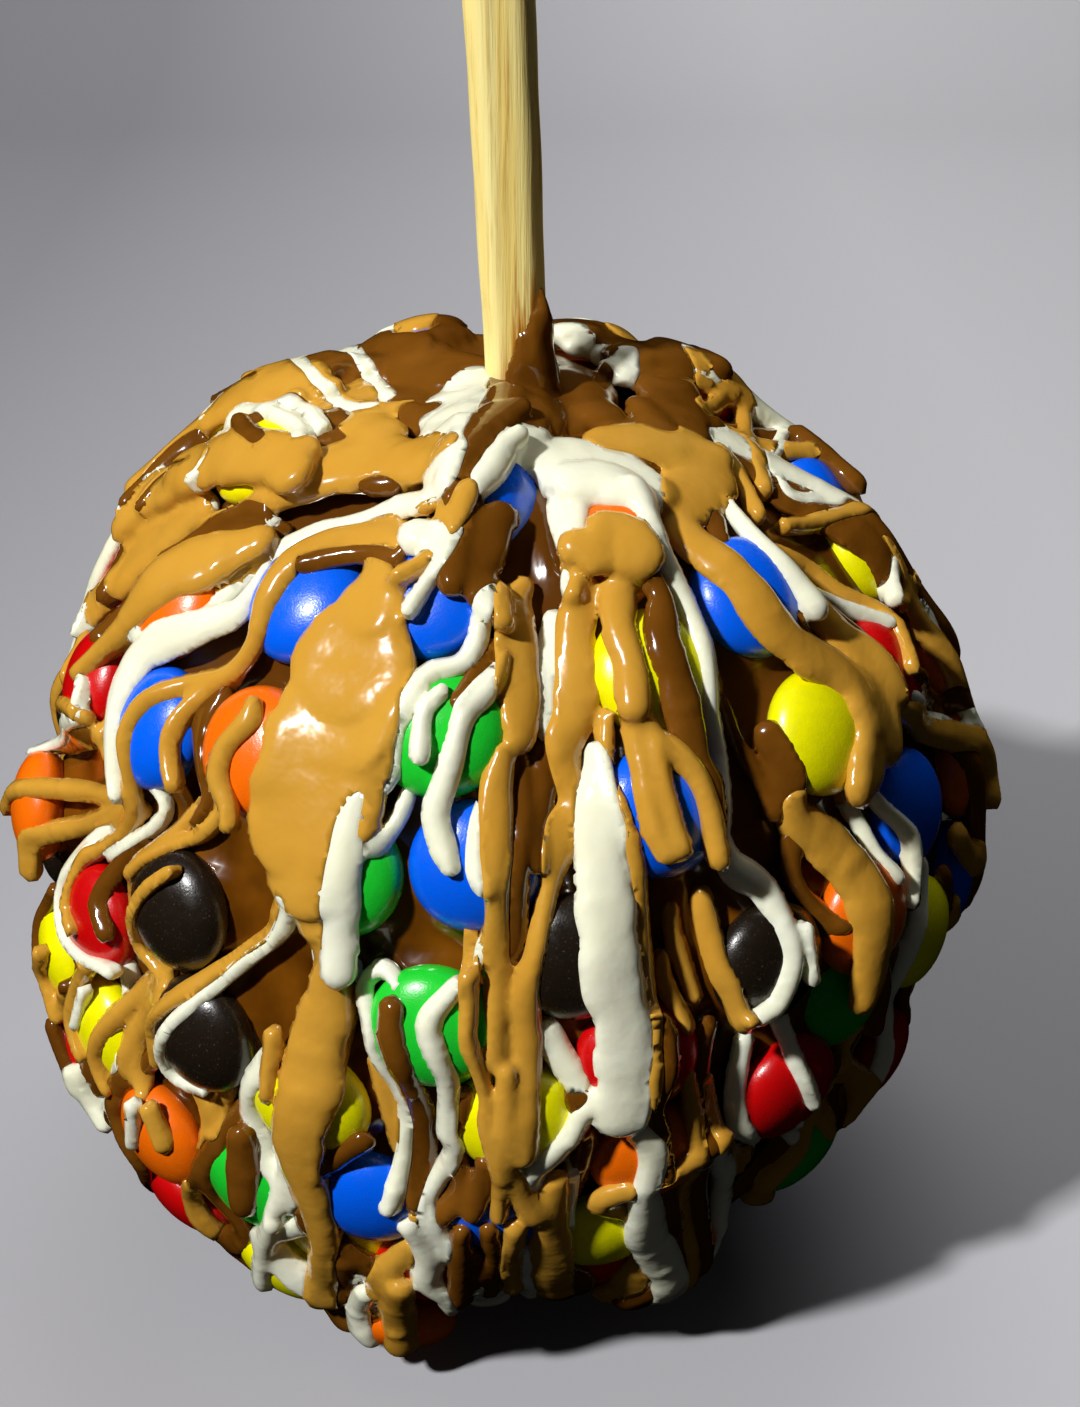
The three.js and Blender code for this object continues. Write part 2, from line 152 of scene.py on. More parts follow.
def unitFrom(az, lat):
    a, l = np.broadcast_arrays(np.radians(az), np.radians(lat))
    return np.stack([np.cos(l) * np.sin(a), -np.cos(l) * np.cos(a), np.sin(l)], -1)


def anglesOf(v):
    az = np.degrees(np.arctan2(v[..., 0], -v[..., 1]))
    return az, np.degrees(np.arcsin(np.clip(v[..., 2], -1, 1)))


def placed(v):
    # from the heart's own upright space to the object's space, in metres
    p = np.array(v, float)
    p[..., 2] += apple["heart"]
    p[..., 0] += leanAt(p[..., 2])
    return p * mm


def coatPoint(az, lat):
    return placed(unitFrom(az, lat) * coatRadius(az, lat)[..., None])


def fromHeart(centre):
    return centre - np.array([leanAt(centre[2]), 0, apple["heart"]])


def coatNormal(az, lat):
    low = np.clip(lat, -60, 88)
    east = coatPoint(az + 1, low) - coatPoint(az - 1, low)
    north = coatPoint(az, low + 1) - coatPoint(az, low - 1)
    n = np.cross(east, north)
    return n / np.linalg.norm(n, axis=-1, keepdims=True)


# a map of heights round the heart, in rows of latitude
mapStep = 0.5
mapLow = -66.0
mapAz = np.arange(-180, 180, mapStep)
mapLat = np.arange(mapLow, 90 + mapStep / 2, mapStep)
gridAz, gridLat = np.meshgrid(mapAz, mapLat)
gridDir = unitFrom(gridAz, gridLat)


def readMap(field, az, lat):
    x = (az + 180) / mapStep
    y = np.clip((lat - mapLow) / mapStep, 0, len(mapLat) - 1.001)
    i = np.floor(x).astype(int)
    j = np.floor(y).astype(int)
    fx = x - i
    fy = y - j
    i0 = i % len(mapAz)
    i1 = (i + 1) % len(mapAz)
    low = between(field[j, i0], field[j, i1], fx)
    high = between(field[j + 1, i0], field[j + 1, i1], fx)
    return between(low, high, fy)


def meshObject(name, verts, faceLists, material):
    # each list holds faces of one kind, such as quads or triangles
    mesh = bpy.data.meshes.new(name)
    mesh.vertices.add(len(verts))
    mesh.vertices.foreach_set("co", np.asarray(verts, np.float32).ravel())
    corners = np.concatenate([np.ravel(faces) for faces in faceLists]).astype(np.int32)
    mesh.loops.add(len(corners))
    mesh.loops.foreach_set("vertex_index", corners)
    sizes = np.concatenate([np.full(len(faces), len(faces[0])) for faces in faceLists])
    mesh.polygons.add(len(sizes))
    mesh.polygons.foreach_set("loop_start", (np.cumsum(sizes) - sizes).astype(np.int32))
    mesh.update(calc_edges=True)
    mesh.validate()
    mesh.shade_smooth()
    mesh.materials.append(material)
    return linked(name, mesh)


def ringQuads(count, rows):
    # faces between rings of points that lie one above the other
    k = np.arange(count)
    j = (k + 1) % count
    first = np.stack([k, j, count + j, count + k], 1)
    return np.concatenate([first + row * count for row in range(rows - 1)])


def ringCaps(count, rows):
    # fans that close the first and the last ring on the two points that follow them
    foot = rows * count
    last = foot - count
    pairs = [(k, (k + 1) % count) for k in range(count)]
    return [(foot, q, p) for p, q in pairs] + [(foot + 1, last + p, last + q) for p, q in pairs]


def addAttribute(piece, name, values):
    attribute = piece.data.attributes.new(name, "FLOAT", "POINT")
    attribute.data.foreach_set("value", np.asarray(values, np.float32))


class Graph:
    # shorthand for building a tree of nodes
    def __init__(self, tree):
        self.tree = tree

    def add(self, kind, **values):
        node = self.tree.nodes.new(kind)
        for key, value in values.items():
            if hasattr(node, key):
                setattr(node, key, value)
            else:
                self.fill(node, **{key: value})
        return node

    def feed(self, socket, value):
        if isinstance(value, bpy.types.NodeSocket):
            self.tree.links.new(value, socket)
        else:
            socket.default_value = value

    def fill(self, node, **values):
        for key, value in values.items():
            self.feed(node.inputs[key.replace("_", " ")], value)

    def sum(self, kind, a, b, clamp=False):
        node = self.add("ShaderNodeMath", operation=kind, use_clamp=clamp)
        self.feed(node.inputs[0], a)
        self.feed(node.inputs[1], b)
        return node.outputs[0]

    def noise(self, vector, scale, detail, roughness=0.5):
        return self.add("ShaderNodeTexNoise", Vector=vector, Scale=scale, Detail=detail,
                        Roughness=roughness).outputs[0]

    def blend(self, factor, a, b):
        return self.add("ShaderNodeMix", data_type="RGBA", Factor=factor, A=a,
                        B=b).outputs["Result"]

    def steps(self, value, low, high, toLow=0.0, toHigh=1.0):
        return self.add("ShaderNodeMapRange", Value=value, From_Min=low, From_Max=high,
                        To_Min=toLow, To_Max=toHigh).outputs[0]

    def bump(self, shader, strength, distance, height):
        bump = self.add("ShaderNodeBump", Strength=strength, Distance=distance, Height=height)
        self.feed(shader.inputs["Normal"], bump.outputs[0])


def linear(colour):
    # colours are picked as they look on a screen, 0 to 255
    out = []
    for c in colour:
        s = c / 255
        out.append(s / 12.92 if s <= 0.04045 else ((s + 0.055) / 1.055) ** 2.4)
    return (*out, 1.0)


def newMaterial(name):
    material = bpy.data.materials.new(name)
    material.use_nodes = True
    graph = Graph(material.node_tree)
    shader = material.node_tree.nodes["Principled BSDF"]
    place = graph.add("ShaderNodeTexCoord").outputs["Object"]
    return material, graph, shader, place


print("caramel apple: candies")

candy = dict(
    radius=6.2, half=3.3, seat=1.6,
    segments=40, rings=20,
    backRows=[
        (74, 212, 212, 1), (66, 155, 155, 1), (52, 128, 236, 4), (35, 107, 266, 8),
        (18, 99, 262, 9), (0, 95, 269, 9), (-17, 79, 272, 10), (-36, 66, 292, 9),
    ],
    backColours="yellow red blue orange green cocoa".split(),
    # half hidden ones set deeper between the others: colour, azimuth, latitude, lift
    glimpses=[
        ("blue", 4, -31, -1.2), ("red", 14, -33, -0.8), ("yellow", -21, -25, -1.2),
        ("cocoa", -56, -19, -1.0), ("green", 45, 3, -1.2),
    ],
    colours=dict(
        yellow=(255, 250, 0),
        blue=(0, 98, 248),
        orange=(252, 112, 4),
        green=(30, 210, 50),
        red=(205, 6, 8),
        cocoa=(30, 22, 14),
    ),
)


def wobble(k):
    s = math.sin(k * 12.9898) * 43758.5453
    return (s - math.floor(s)) * 2 - 1


def candyFromNode(node):
    # centre and short axis of a candy's own solid
    co = np.array([v.co[:] for v in node.data.vertices]) / mm
    co = np.unique(co.round(4), axis=0)
    centre = co.mean(axis=0)
    spread = np.linalg.eigh((co - centre).T @ (co - centre))
    axis = spread[1][:, 0]
    out = centre - np.array([0, 0, apple["heart"]])
    return centre, axis * np.sign(axis @ out)


def candyOnCoat(az, lat, lift):
    az, lat = np.array(float(az)), np.array(float(lat))
    axis = coatNormal(az, lat)
    return coatPoint(az, lat) / mm + axis * (candy["seat"] + lift), axis


def backCandies():
    found = []
    for row, (lat, first, last, count) in enumerate(candy["backRows"]):
        step = (last - first) / (count - 1) if count > 1 else 0
        for i in range(count):
            k = row * 20 + i + 1
            az = first + step * i + step * 0.07 * wobble(k)
            found.append(candyOnCoat(az, lat + 0.9 * wobble(k + 0.5), 0.25 * wobble(k + 0.25)))
    return found


candies = {colour: [] for colour in candy["colours"]}
candyNodes = {colour: [] for colour in candy["colours"]}
for name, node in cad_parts.items():
    if name.startswith("candy_"):
        colour = name.split("_")[1]
        candies[colour].append(candyFromNode(node))
        candyNodes[colour].append(name)
for i, place in enumerate(backCandies()):
    # the first one, behind the crown, is blue
    pick = int((wobble(i * 3 + 0.7) + 1) * 3) % 6
    candies["blue" if i == 0 else candy["backColours"][pick]].append(place)
for colour, az, lat, lift in candy["glimpses"]:
    candies[colour].append(candyOnCoat(az, lat, lift))


def candyTree():
    # instances one lentil on each point, turned to the point's axis
    tree = bpy.data.node_groups.new("candyScatter", "GeometryNodeTree")
    face = tree.interface
    face.new_socket("Geometry", in_out="INPUT", socket_type="NodeSocketGeometry")
    for label, value in (("Radius", candy["radius"] * mm), ("Half thickness", candy["half"] * mm)):
        socket = face.new_socket(label, in_out="INPUT", socket_type="NodeSocketFloat")
        socket.default_value = value
    for label, value in (("Segments", candy["segments"]), ("Rings", candy["rings"]), ("Seed", 7)):
        socket = face.new_socket(label, in_out="INPUT", socket_type="NodeSocketInt")
        socket.default_value = value
    face.new_socket("Material", in_out="INPUT", socket_type="NodeSocketMaterial")
    face.new_socket("Geometry", in_out="OUTPUT", socket_type="NodeSocketGeometry")
    g = Graph(tree)
    given = g.add("NodeGroupInput").outputs
    ball = g.add("GeometryNodeMeshUVSphere", Segments=given["Segments"], Rings=given["Rings"],
                 Radius=1.0)
    size = g.add("ShaderNodeCombineXYZ", X=given["Radius"], Y=given["Radius"],
                 Z=given["Half thickness"])
    shape = g.add("GeometryNodeTransform", Geometry=ball.outputs["Mesh"], Scale=size.outputs[0])
    axis = g.add("GeometryNodeInputNamedAttribute", data_type="FLOAT_VECTOR", Name="axis")
    turn = g.add("FunctionNodeAlignRotationToVector", axis="Z", Vector=axis.outputs["Attribute"])
    spin = g.add("FunctionNodeRandomValue", data_type="FLOAT", Seed=given["Seed"])
    spin.inputs[3].default_value = 2 * math.pi
    about = g.add("FunctionNodeAxisAngleToRotation", Angle=spin.outputs[1])
    whole = g.add("FunctionNodeRotateRotation", rotation_space="LOCAL")
    g.feed(whole.inputs[0], turn.outputs[0])
    g.feed(whole.inputs[1], about.outputs[0])
    put = g.add("GeometryNodeInstanceOnPoints", Points=given["Geometry"],
                Rotation=whole.outputs[0])
    g.feed(put.inputs["Instance"], shape.outputs[0])
    real = g.add("GeometryNodeRealizeInstances", Geometry=put.outputs[0])
    smooth = g.add("GeometryNodeSetShadeSmooth", Geometry=real.outputs[0])
    coloured = g.add("GeometryNodeSetMaterial", Geometry=smooth.outputs[0],
                     Material=given["Material"])
    out = g.add("NodeGroupOutput")
    g.feed(out.inputs[0], coloured.outputs[0])
    return tree


def baked(piece, modifier):
    deps = bpy.context.evaluated_depsgraph_get()
    mesh = bpy.data.meshes.new_from_object(piece.evaluated_get(deps))
    piece.modifiers.remove(modifier)
    piece.data = mesh


def applyTree(piece, tree, values):
    modifier = piece.modifiers.new("nodes", "NODES")
    modifier.node_group = tree
    for item in tree.interface.items_tree:
        if item.item_type == "SOCKET" and item.in_out == "INPUT" and item.name in values:
            modifier[item.identifier] = values[item.name]
    piece.update_tag()
    baked(piece, modifier)


def candyMaterial(colour):
    # hard sugar shell: thin gloss, mottled dye, a very fine orange peel; on the cocoa ones pale
    # specks painted as glints
    material, g, shader, place = newMaterial("candy_" + colour)
    base = linear(candy["colours"][colour])
    dark = [c * 0.72 for c in base[:3]] + [1]
    tint = g.add("ShaderNodeAttribute", attribute_name="tint").outputs["Fac"]
    mottle = g.noise(place, 900, 3, 0.6)
    fine = g.noise(place, 5200, 2, 0.6)
    cloudy = g.steps(mottle, 0.35, 0.75, 0, 0.35)
    mix = g.sum("ADD", cloudy, g.sum("MULTIPLY", tint, 0.3), True)
    body = g.blend(mix, base, dark)
    if colour == "cocoa":
        # painted glints: pale specks on the dark cocoa shell
        body = g.blend(g.steps(fine, 0.66, 0.74, 0, 0.5), body, linear((130, 112, 100)))
    rough = g.steps(mottle, 0.3, 0.7, 0.22, 0.36)
    g.fill(shader, Base_Color=body, Roughness=rough, Coat_Weight=0.35, Coat_Roughness=0.12)
    g.bump(shader, 0.25, 0.0001, g.sum("ADD", mottle, fine))
    return material


scatterTree = candyTree()
for colour, places in candies.items():
    points = bpy.data.meshes.new("candies_" + colour)
    points.vertices.add(len(places))
    centres = (np.array([p[0] for p in places]) * mm).astype(np.float32)
    points.vertices.foreach_set("co", centres.ravel())
    piece = linked("candies_" + colour, points)
    axes = points.attributes.new("axis", "FLOAT_VECTOR", "POINT")
    axes.data.foreach_set("vector", np.array([p[1] for p in places], np.float32).ravel())
    addAttribute(piece, "tint", [0.5 + 0.5 * wobble(i + 0.31) for i in range(len(places))])
    applyTree(piece, scatterTree, {"Material": candyMaterial(colour)})
    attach(piece, "root")
    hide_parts(*candyNodes[colour])


print("caramel apple: coat")

coat = dict(
    around=300, rows=150,
    collar=1.5,         # caramel drawn up round each candy, mm
    collarReach=1.3,    # how fast it falls away
    collarInset=0.4,    # how far inside the candy's rim it starts
    collarEnd=9,
    collarShare=0.25,   # what the lower of two collars adds
)


def candyReach(centre, axis):
    # height of a candy's top over the heart along every direction it covers
    c = fromHeart(centre)
    far = np.linalg.norm(c)
    near = gridDir @ (c / far) > math.cos(math.asin((candy["radius"] + 1) / far))
    d = gridDir[near]
    a = candy["radius"]
    b = candy["half"]

    def squash(v):
        along = (v @ axis)[..., None] * axis
        return (v - along) / a + along / b

    dd = squash(d)
    cc = squash(c)
    qa = (dd * dd).sum(-1)
    qb = dd @ cc
    inside = qb ** 2 - qa * (cc @ cc - 1)
    top = np.where(inside > 0, (qb + np.sqrt(np.maximum(inside, 0))) / qa, 0)
    return near, top


coatMap = coatRadius(gridAz, gridLat)
collars = np.zeros_like(coatMap)
allCandies = [place for places in candies.values() for place in places]
for centre, axis in allCandies:
    c = fromHeart(centre)
    far = np.linalg.norm(c)
    angle = np.arccos(np.clip(gridDir @ (c / far), -1, 1))
    away = np.maximum(angle * far - candy["radius"] + coat["collarInset"], 0)
    near = away < coat["collarEnd"]
    rise = coat["collar"] * np.exp(-away[near] / coat["collarReach"])
    both = coat["collarShare"] * np.minimum(collars[near], rise)
    collars[near] = np.maximum(collars[near], rise) + both
coatMap = coatMap + collars * ramp(gridLat, -58, -40)

solidMap = coatMap.copy()
for centre, axis in allCandies:
    near, top = candyReach(centre, axis)
    solidMap[near] = np.maximum(solidMap[near], top)


def coatMesh():
    # rings of latitude over the height map, closed by a flat foot
    n = coat["around"]
    az = np.arange(n) * 360 / n - 180
    footLat = -math.degrees(math.asin(apple["heart"] / apple["side"]))
    lats = np.concatenate([[footLat + 0.01], np.linspace(footLat + 1, 89.4, coat["rows"])])
    verts = []
    for lat in lats:
        height = np.where(lat < -60, coatRadius(az, lat), readMap(coatMap, az, np.full(n, lat)))
        verts.append(placed(unitFrom(az, lat) * height[:, None]))
    verts[0][:, 2] = 0
    verts = np.concatenate(verts + [[(0, 0, 0)], [coatPoint(np.array(0.0), np.array(90.0))]])
    return verts, [ringQuads(n, len(lats)), ringCaps(n, len(lats))]


def caramelMaterial():
    # dark glossy caramel with amber clouds, chocolate brown over the crown
    material, g, shader, place = newMaterial("caramel_coat")
    cloud = g.noise(place, 120, 3, 0.55)
    amber = g.blend(g.steps(cloud, 0.35, 0.68), linear((64, 32, 2)), linear((118, 68, 8)))
    height = g.add("ShaderNodeSeparateXYZ", Vector=place).outputs["Z"]
    crown = g.steps(g.sum("ADD", height, g.sum("MULTIPLY", cloud, 0.012)), 0.074, 0.086)
    body = g.blend(crown, amber, linear((88, 50, 10)))
    rough = g.steps(g.noise(place, 400, 2), 0.3, 0.7, 0.1, 0.22)
    g.fill(shader, Base_Color=body, Roughness=rough, Coat_Weight=0.6, Coat_Roughness=0.06)
    g.bump(shader, 0.35, 0.0006, g.noise(place, 160, 2))
    return material


coatPiece = meshObject("coat", *coatMesh(), caramelMaterial())
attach(coatPiece, "root")
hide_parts("coated_apple")


print("caramel apple: sauces", round(time.time() - started, 1), "s")

sauceLook = dict(
    voxel=0.45,
    spacing=0.6,      # between the stops of a run, mm
    widen=1.14,       # sauce spreads this much past the widths below
    widenPools=0.03,  # and pools more
    drape=1.5,        # how far a run bridges along its way, mm
    drapeWide=0.4,    # and more for each mm of its width
    sideDrape=0.7,    # and across
    sideWide=0.5,
    middle=52,        # usual distance of the sauce from the heart, mm
    edge=0.25,        # the widest part of a section is this far up its height
    under=0.95,       # how deep a section reaches below that, to its height
    sink=0.25,        # how far a run may cut into what lies below it, before
    sinkMost=0.7,     # and after its bed is evened out, mm
    share=0.4,        # how much of a lower sauce's height a run climbs
    fillet=0.7,       # rounding where runs meet, mm
    overlap=0.12,     # how far neighbouring colours pass under each other
    mostFaces=185000,
    thin=1.05,        # height of the narrowest run
    full=0.65,        # what the widest pool adds to it
)

# runs of sauce in the order they were poured: azimuth, latitude, width in mm
underBrown = [
    [(-58, 66, 4), (-68, 63, 5), (-78, 60, 5), (-86, 55, 4)],
    [(56, 52, 3), (58, 46, 3.4), (60, 40, 3), (60, 34, 2)],
    [(0, 82, 8), (45, 82, 8), (90, 82, 8), (135, 82, 8), (180, 82, 8), (225, 82, 8), (270, 82, 8),
     (315, 82, 8), (360, 82, 8)],
    [(40, 72, 6), (70, 71, 7), (100, 71, 6), (130, 71, 5), (160, 72, 4)],
    [(238, 72, 5), (255, 72, 6), (280, 72, 7), (310, 71, 7), (325, 71, 5)],
    [(8, 86, 7), (3, 79, 8), (-3, 74, 6), (-6, 69, 4.5), (-9, 64, 3.6), (-9, 59, 2.8),
     (-8, 56, 2)],
    [(-100, 88, 6), (-115, 82, 7), (-125, 74, 6), (-128, 67, 4)],
    [(8, 78, 2.6), (-2, 76, 4), (-8, 72, 4), (-10, 68, 2)],
    [(-54, 60, 1.6), (-60, 58, 1.8), (-66, 56, 1.8), (-71, 52, 1.6), (-74, 48, 1.6),
     (-75, 44, 2.1), (-76, 40, 2.5), (-74, 37, 2)],
    [(-64, 29, 1.8), (-70, 26, 2.2), (-78, 21, 1.9), (-84, 16, 1.5)],
    [(0, 64, 3), (-4, 61, 4.5), (-5, 58, 4), (-2, 55, 3), (0, 53, 1.6)],
    [(0, 53, 1), (-2, 50, 1.3), (-4, 48, 1.3), (-6, 45, 1)],
    [(24, 59, 1.4), (26, 54, 2.4), (24, 50, 3), (24, 46, 3.3), (24, 42, 3.3), (24, 38, 3.1),
     (25, 34, 2.5), (24, 29, 1.4)],
    [(34, 43, 1.2), (34, 38, 1.4), (36, 33, 1.8), (36, 30, 1.6)],
    [(37, 38, 2.2), (38, 32, 2.5), (38, 27, 2.4), (37, 22, 1.7), (40, 15, 1.6)],
    [(2, 42, 1.4), (2, 38, 2), (2, 33, 1.9), (1, 28, 2.1), (1, 24, 1.9), (0, 19, 1.5),
     (0, 15, 1.1), (0, 11, 0.9)],
    [(5, 42, 2), (5, 38, 2.1), (4, 34, 1.9), (4, 30, 1.3)],
    [(-43, 42, 1.3), (-44, 39, 2.4), (-43, 36, 2.5), (-41, 33, 2), (-40, 31, 1.4), (-41, 28, 1)],
    [(-51, 22, 1.6), (-54, 18, 2), (-55, 13, 1.9), (-52, 10, 1.4)],
    [(-60, 16, 1.8), (-65, 9, 1.8), (-65, 3, 1.8), (-58, 2, 1.6)],
    [(-18, 17, 1.5), (-18, 10, 1.3), (-19, 3, 1.3), (-20, -8, 1.3)],
    [(-12, 15, 2), (-12, 12, 2.4), (-11, 8, 2.4), (-10, 4, 2.2), (-9, -1, 2.2), (-9, -7, 2.2),
     (-9, -12, 1.5)],
    [(-2, -4, 1.4), (-2, -7, 2.2), (-3, -12, 1.9)],
    [(-4, -15, 1.6), (-4, -22, 2.3), (-4, -30, 1.9)],
    [(-1, -14, 1.5), (0, -21, 2), (0, -31, 1.4)],
    [(16, 13, 1.1), (17, 10, 1.7), (17, 6, 1.9), (16, 2, 1.7), (17, -3, 1.7), (18, -8, 1.4)],
    [(20, -14, 2), (22, -20, 2.4), (25, -28, 2.3), (28, -34, 1.5)],
    [(25, -17, 1.4), (28, -25, 1.8), (30, -33, 2.1)],
    [(30, -11, 1.2), (34, -18, 1.3)],
    [(48, 7, 1.8), (50, 0, 2.3), (51, -5, 1.7)],
    [(46, -8, 1.8), (49, -12, 2.4), (52, -17, 1.8)],
    [(66, 34, 1.5), (72, 30, 2), (82, 22, 1.6)],
    [(-30, -7, 2.4), (-30, -12, 3.4), (-30, -17, 2.3)],
    [(-70, 5, 1.4), (-73, -1, 1.6), (-71, -6, 1.3)],
    [(-68, -13, 1.9), (-66, -16, 2.1), (-63, -19, 1.6)],
    [(-51, -13, 2.2), (-55, -19, 2.6)],
    [(-18, -24, 2.3), (-19, -30, 3), (-20, -36, 2.4)],
    [(50, 47, 1.9), (50, 43, 1.6)],
    [(54, 20, 1.6), (55, 16, 2.1), (54, 12, 2)],
]
whiteRuns = [
    [(-60, 87, 3), (-40, 83, 5.4), (-23, 79, 6.4), (-18, 74, 6), (-15, 70, 4.4), (-15, 66, 3.2),
     (-24, 66, 3), (-34, 64, 2.4), (-44, 62, 2.1), (-50, 58, 2.4), (-53, 54, 2), (-53, 50, 1.4),
     (-52, 47, 1)],
    [(-55, 60, 1), (-61, 59, 1.1), (-66, 58, 0.9)],
    [(-78, 50, 0.9), (-80, 46, 1.1), (-82, 43, 0.9)],
    [(-62, 42, 0.9), (-68, 38, 1), (-70, 34, 0.9), (-67, 31, 0.8)],
    [(-90, 35, 1), (-87, 31, 0.9)],
    [(-66, 30, 1.4), (-71, 27, 1.5), (-80, 20, 1.3), (-84, 16, 1)],
    [(-54, 24, 1.1), (-60, 19, 1.7), (-63, 14, 2), (-64, 8, 1.5), (-61, 5, 1.2), (-55, 5, 1.1),
     (-50, 6, 1)],
    [(4, 72, 2.2), (10, 73, 4.6), (18, 72, 7), (26, 71, 8), (34, 69, 7), (39, 66, 4)],
    [(20, 68, 5), (27, 67, 5.6), (31, 64, 3)],
    [(6, 73, 1.8), (1, 71, 1.7), (-2, 68, 1.8), (-5, 66, 1.5), (-7, 64, 1.1), (-8, 61, 1),
     (-10, 58, 1), (-12, 56, 1), (-14, 53, 1.1)],
    [(16, 66, 3.5), (14, 62, 2.3), (13, 58, 1.8), (12, 56, 1.3)],
    [(31, 65, 2.5), (30, 62, 2.3), (30, 58, 2.1), (31, 54, 2.1), (31, 50, 2), (30, 46, 1.9),
     (29, 42, 1.7), (29, 38, 1.4), (28, 33, 1.5), (27, 29, 1.9), (28, 26, 2.5), (31, 23, 2.6),
     (32, 19, 2), (32, 15, 2), (30, 11, 1.9), (28, 10, 1.5), (26, 10, 1)],
    [(9, 55, 1.6), (8, 51, 3), (6, 46, 3.3), (7, 43, 2.5), (7, 41, 1.2)],
    [(0, 56, 1.4), (-3, 54, 1.6), (-4, 51, 1.5), (-6, 49, 1.5), (-10, 48, 1.7), (-12, 46, 2),
     (-14, 43, 2.4), (-14, 40, 1.9), (-14, 38, 1.4), (-16, 36, 1.2), (-18, 35, 1.2)],
    [(-8, 46, 1.1), (-10, 44, 1.2), (-10, 40, 1.2)],
    [(0, 50, 1), (-1, 48, 1.5), (-3, 46, 1.9), (-5, 44, 1.7), (-6, 41, 1.7), (-7, 38, 1.9),
     (-8, 35, 2.1), (-7, 32, 1.8), (-6, 30, 1.2)],
    [(-2, 38, 1.1), (-3, 34, 1.4), (-3, 30, 1.7), (-2, 28, 1.3)],
    [(-23, 22, 0.8), (-22, 19, 1), (-22, 14, 0.8)],
    [(-12, 17, 1.1), (-14, 18, 1.4), (-16, 16, 1.4), (-15, 12, 1.2), (-14, 8, 1.1), (-12, 4, 1.1),
     (-11, 0, 1.1), (-11, -6, 1.3), (-12, -12, 1.8)],
    [(-4, 19, 1.2), (-6, 17, 1.6), (-8, 14, 1.9), (-7, 10, 1.9), (-6, 7, 1.6), (-6, 2, 1.7),
     (-6, -1, 1.6), (-5, -3, 1.4), (-7, -9, 1.5), (-8, -13, 1.3), (-6, -18, 1.6), (-8, -24, 2.3)],
    [(-10, -15, 1.8), (-8, -20, 2), (-8, -25, 2.4), (-6, -28, 1.6), (-5, -32, 1.3)],
    [(-2, 26, 0.9), (-2, 23, 1.2), (-3, 20, 1)],
    [(57, 61, 1), (54, 58, 1.6), (52, 55, 2), (52, 51, 2.2), (52, 47, 2.1)],
    [(114, 56, 1.1), (110, 54, 1.2), (90, 58, 0.9)],
    [(82, 58, 0.9), (77, 56, 1.1), (84, 51, 1.4)],
    [(59, 52, 1.5), (59, 49, 1.4), (62, 46, 1.4), (66, 42, 1.5), (68, 39, 1.1)],
    [(80, 42, 1.2), (75, 40, 1.2)],
    [(64, 32, 1.5), (72, 26, 1.9), (80, 19, 1.4)],
    [(48, 28, 1.3), (49, 24, 1.5), (49, 20, 1.5), (50, 17, 1.2)],
    [(52, 29, 1), (52, 25, 1.1), (54, 20, 1.2), (54, 16, 1.2), (52, 13, 1.1)],
    [(34, 18, 0.9), (34, 15, 1.1), (34, 12, 0.9)],
    [(32, 7, 1.3), (33, 4, 1.4), (34, 0, 1.4), (36, -5, 1.2)],
    [(36, -9, 1.1), (38, -14, 1.3), (42, -19, 1.2)],
    [(10, 4, 1.4), (8, 2, 1.3), (7, -1, 1)],
    [(28, -11, 1.3), (30, -18, 1.7), (33, -24, 1.2)],
    [(8, -8, 1.2), (8, -16, 1.4), (9, -24, 1.3)],
    [(4, -22, 1.4), (5, -28, 2), (6, -36, 1.8)],
    [(-16, -30, 2), (-18, -36, 2.5), (-17, -40, 2.2)],
    [(-24, -7, 2.6), (-24, -12, 3), (-26, -17, 1.8)],
    [(-26, -18, 1.9), (-29, -26, 2), (-31, -33, 1.9)],
    [(-55, 1, 1), (-57, -5, 1)],
    [(-63, -17, 2.1), (-62, -21, 2.7), (-59, -23, 1.6)],
    [(-45, -9, 1.5), (-46, -15, 1.4)],
]
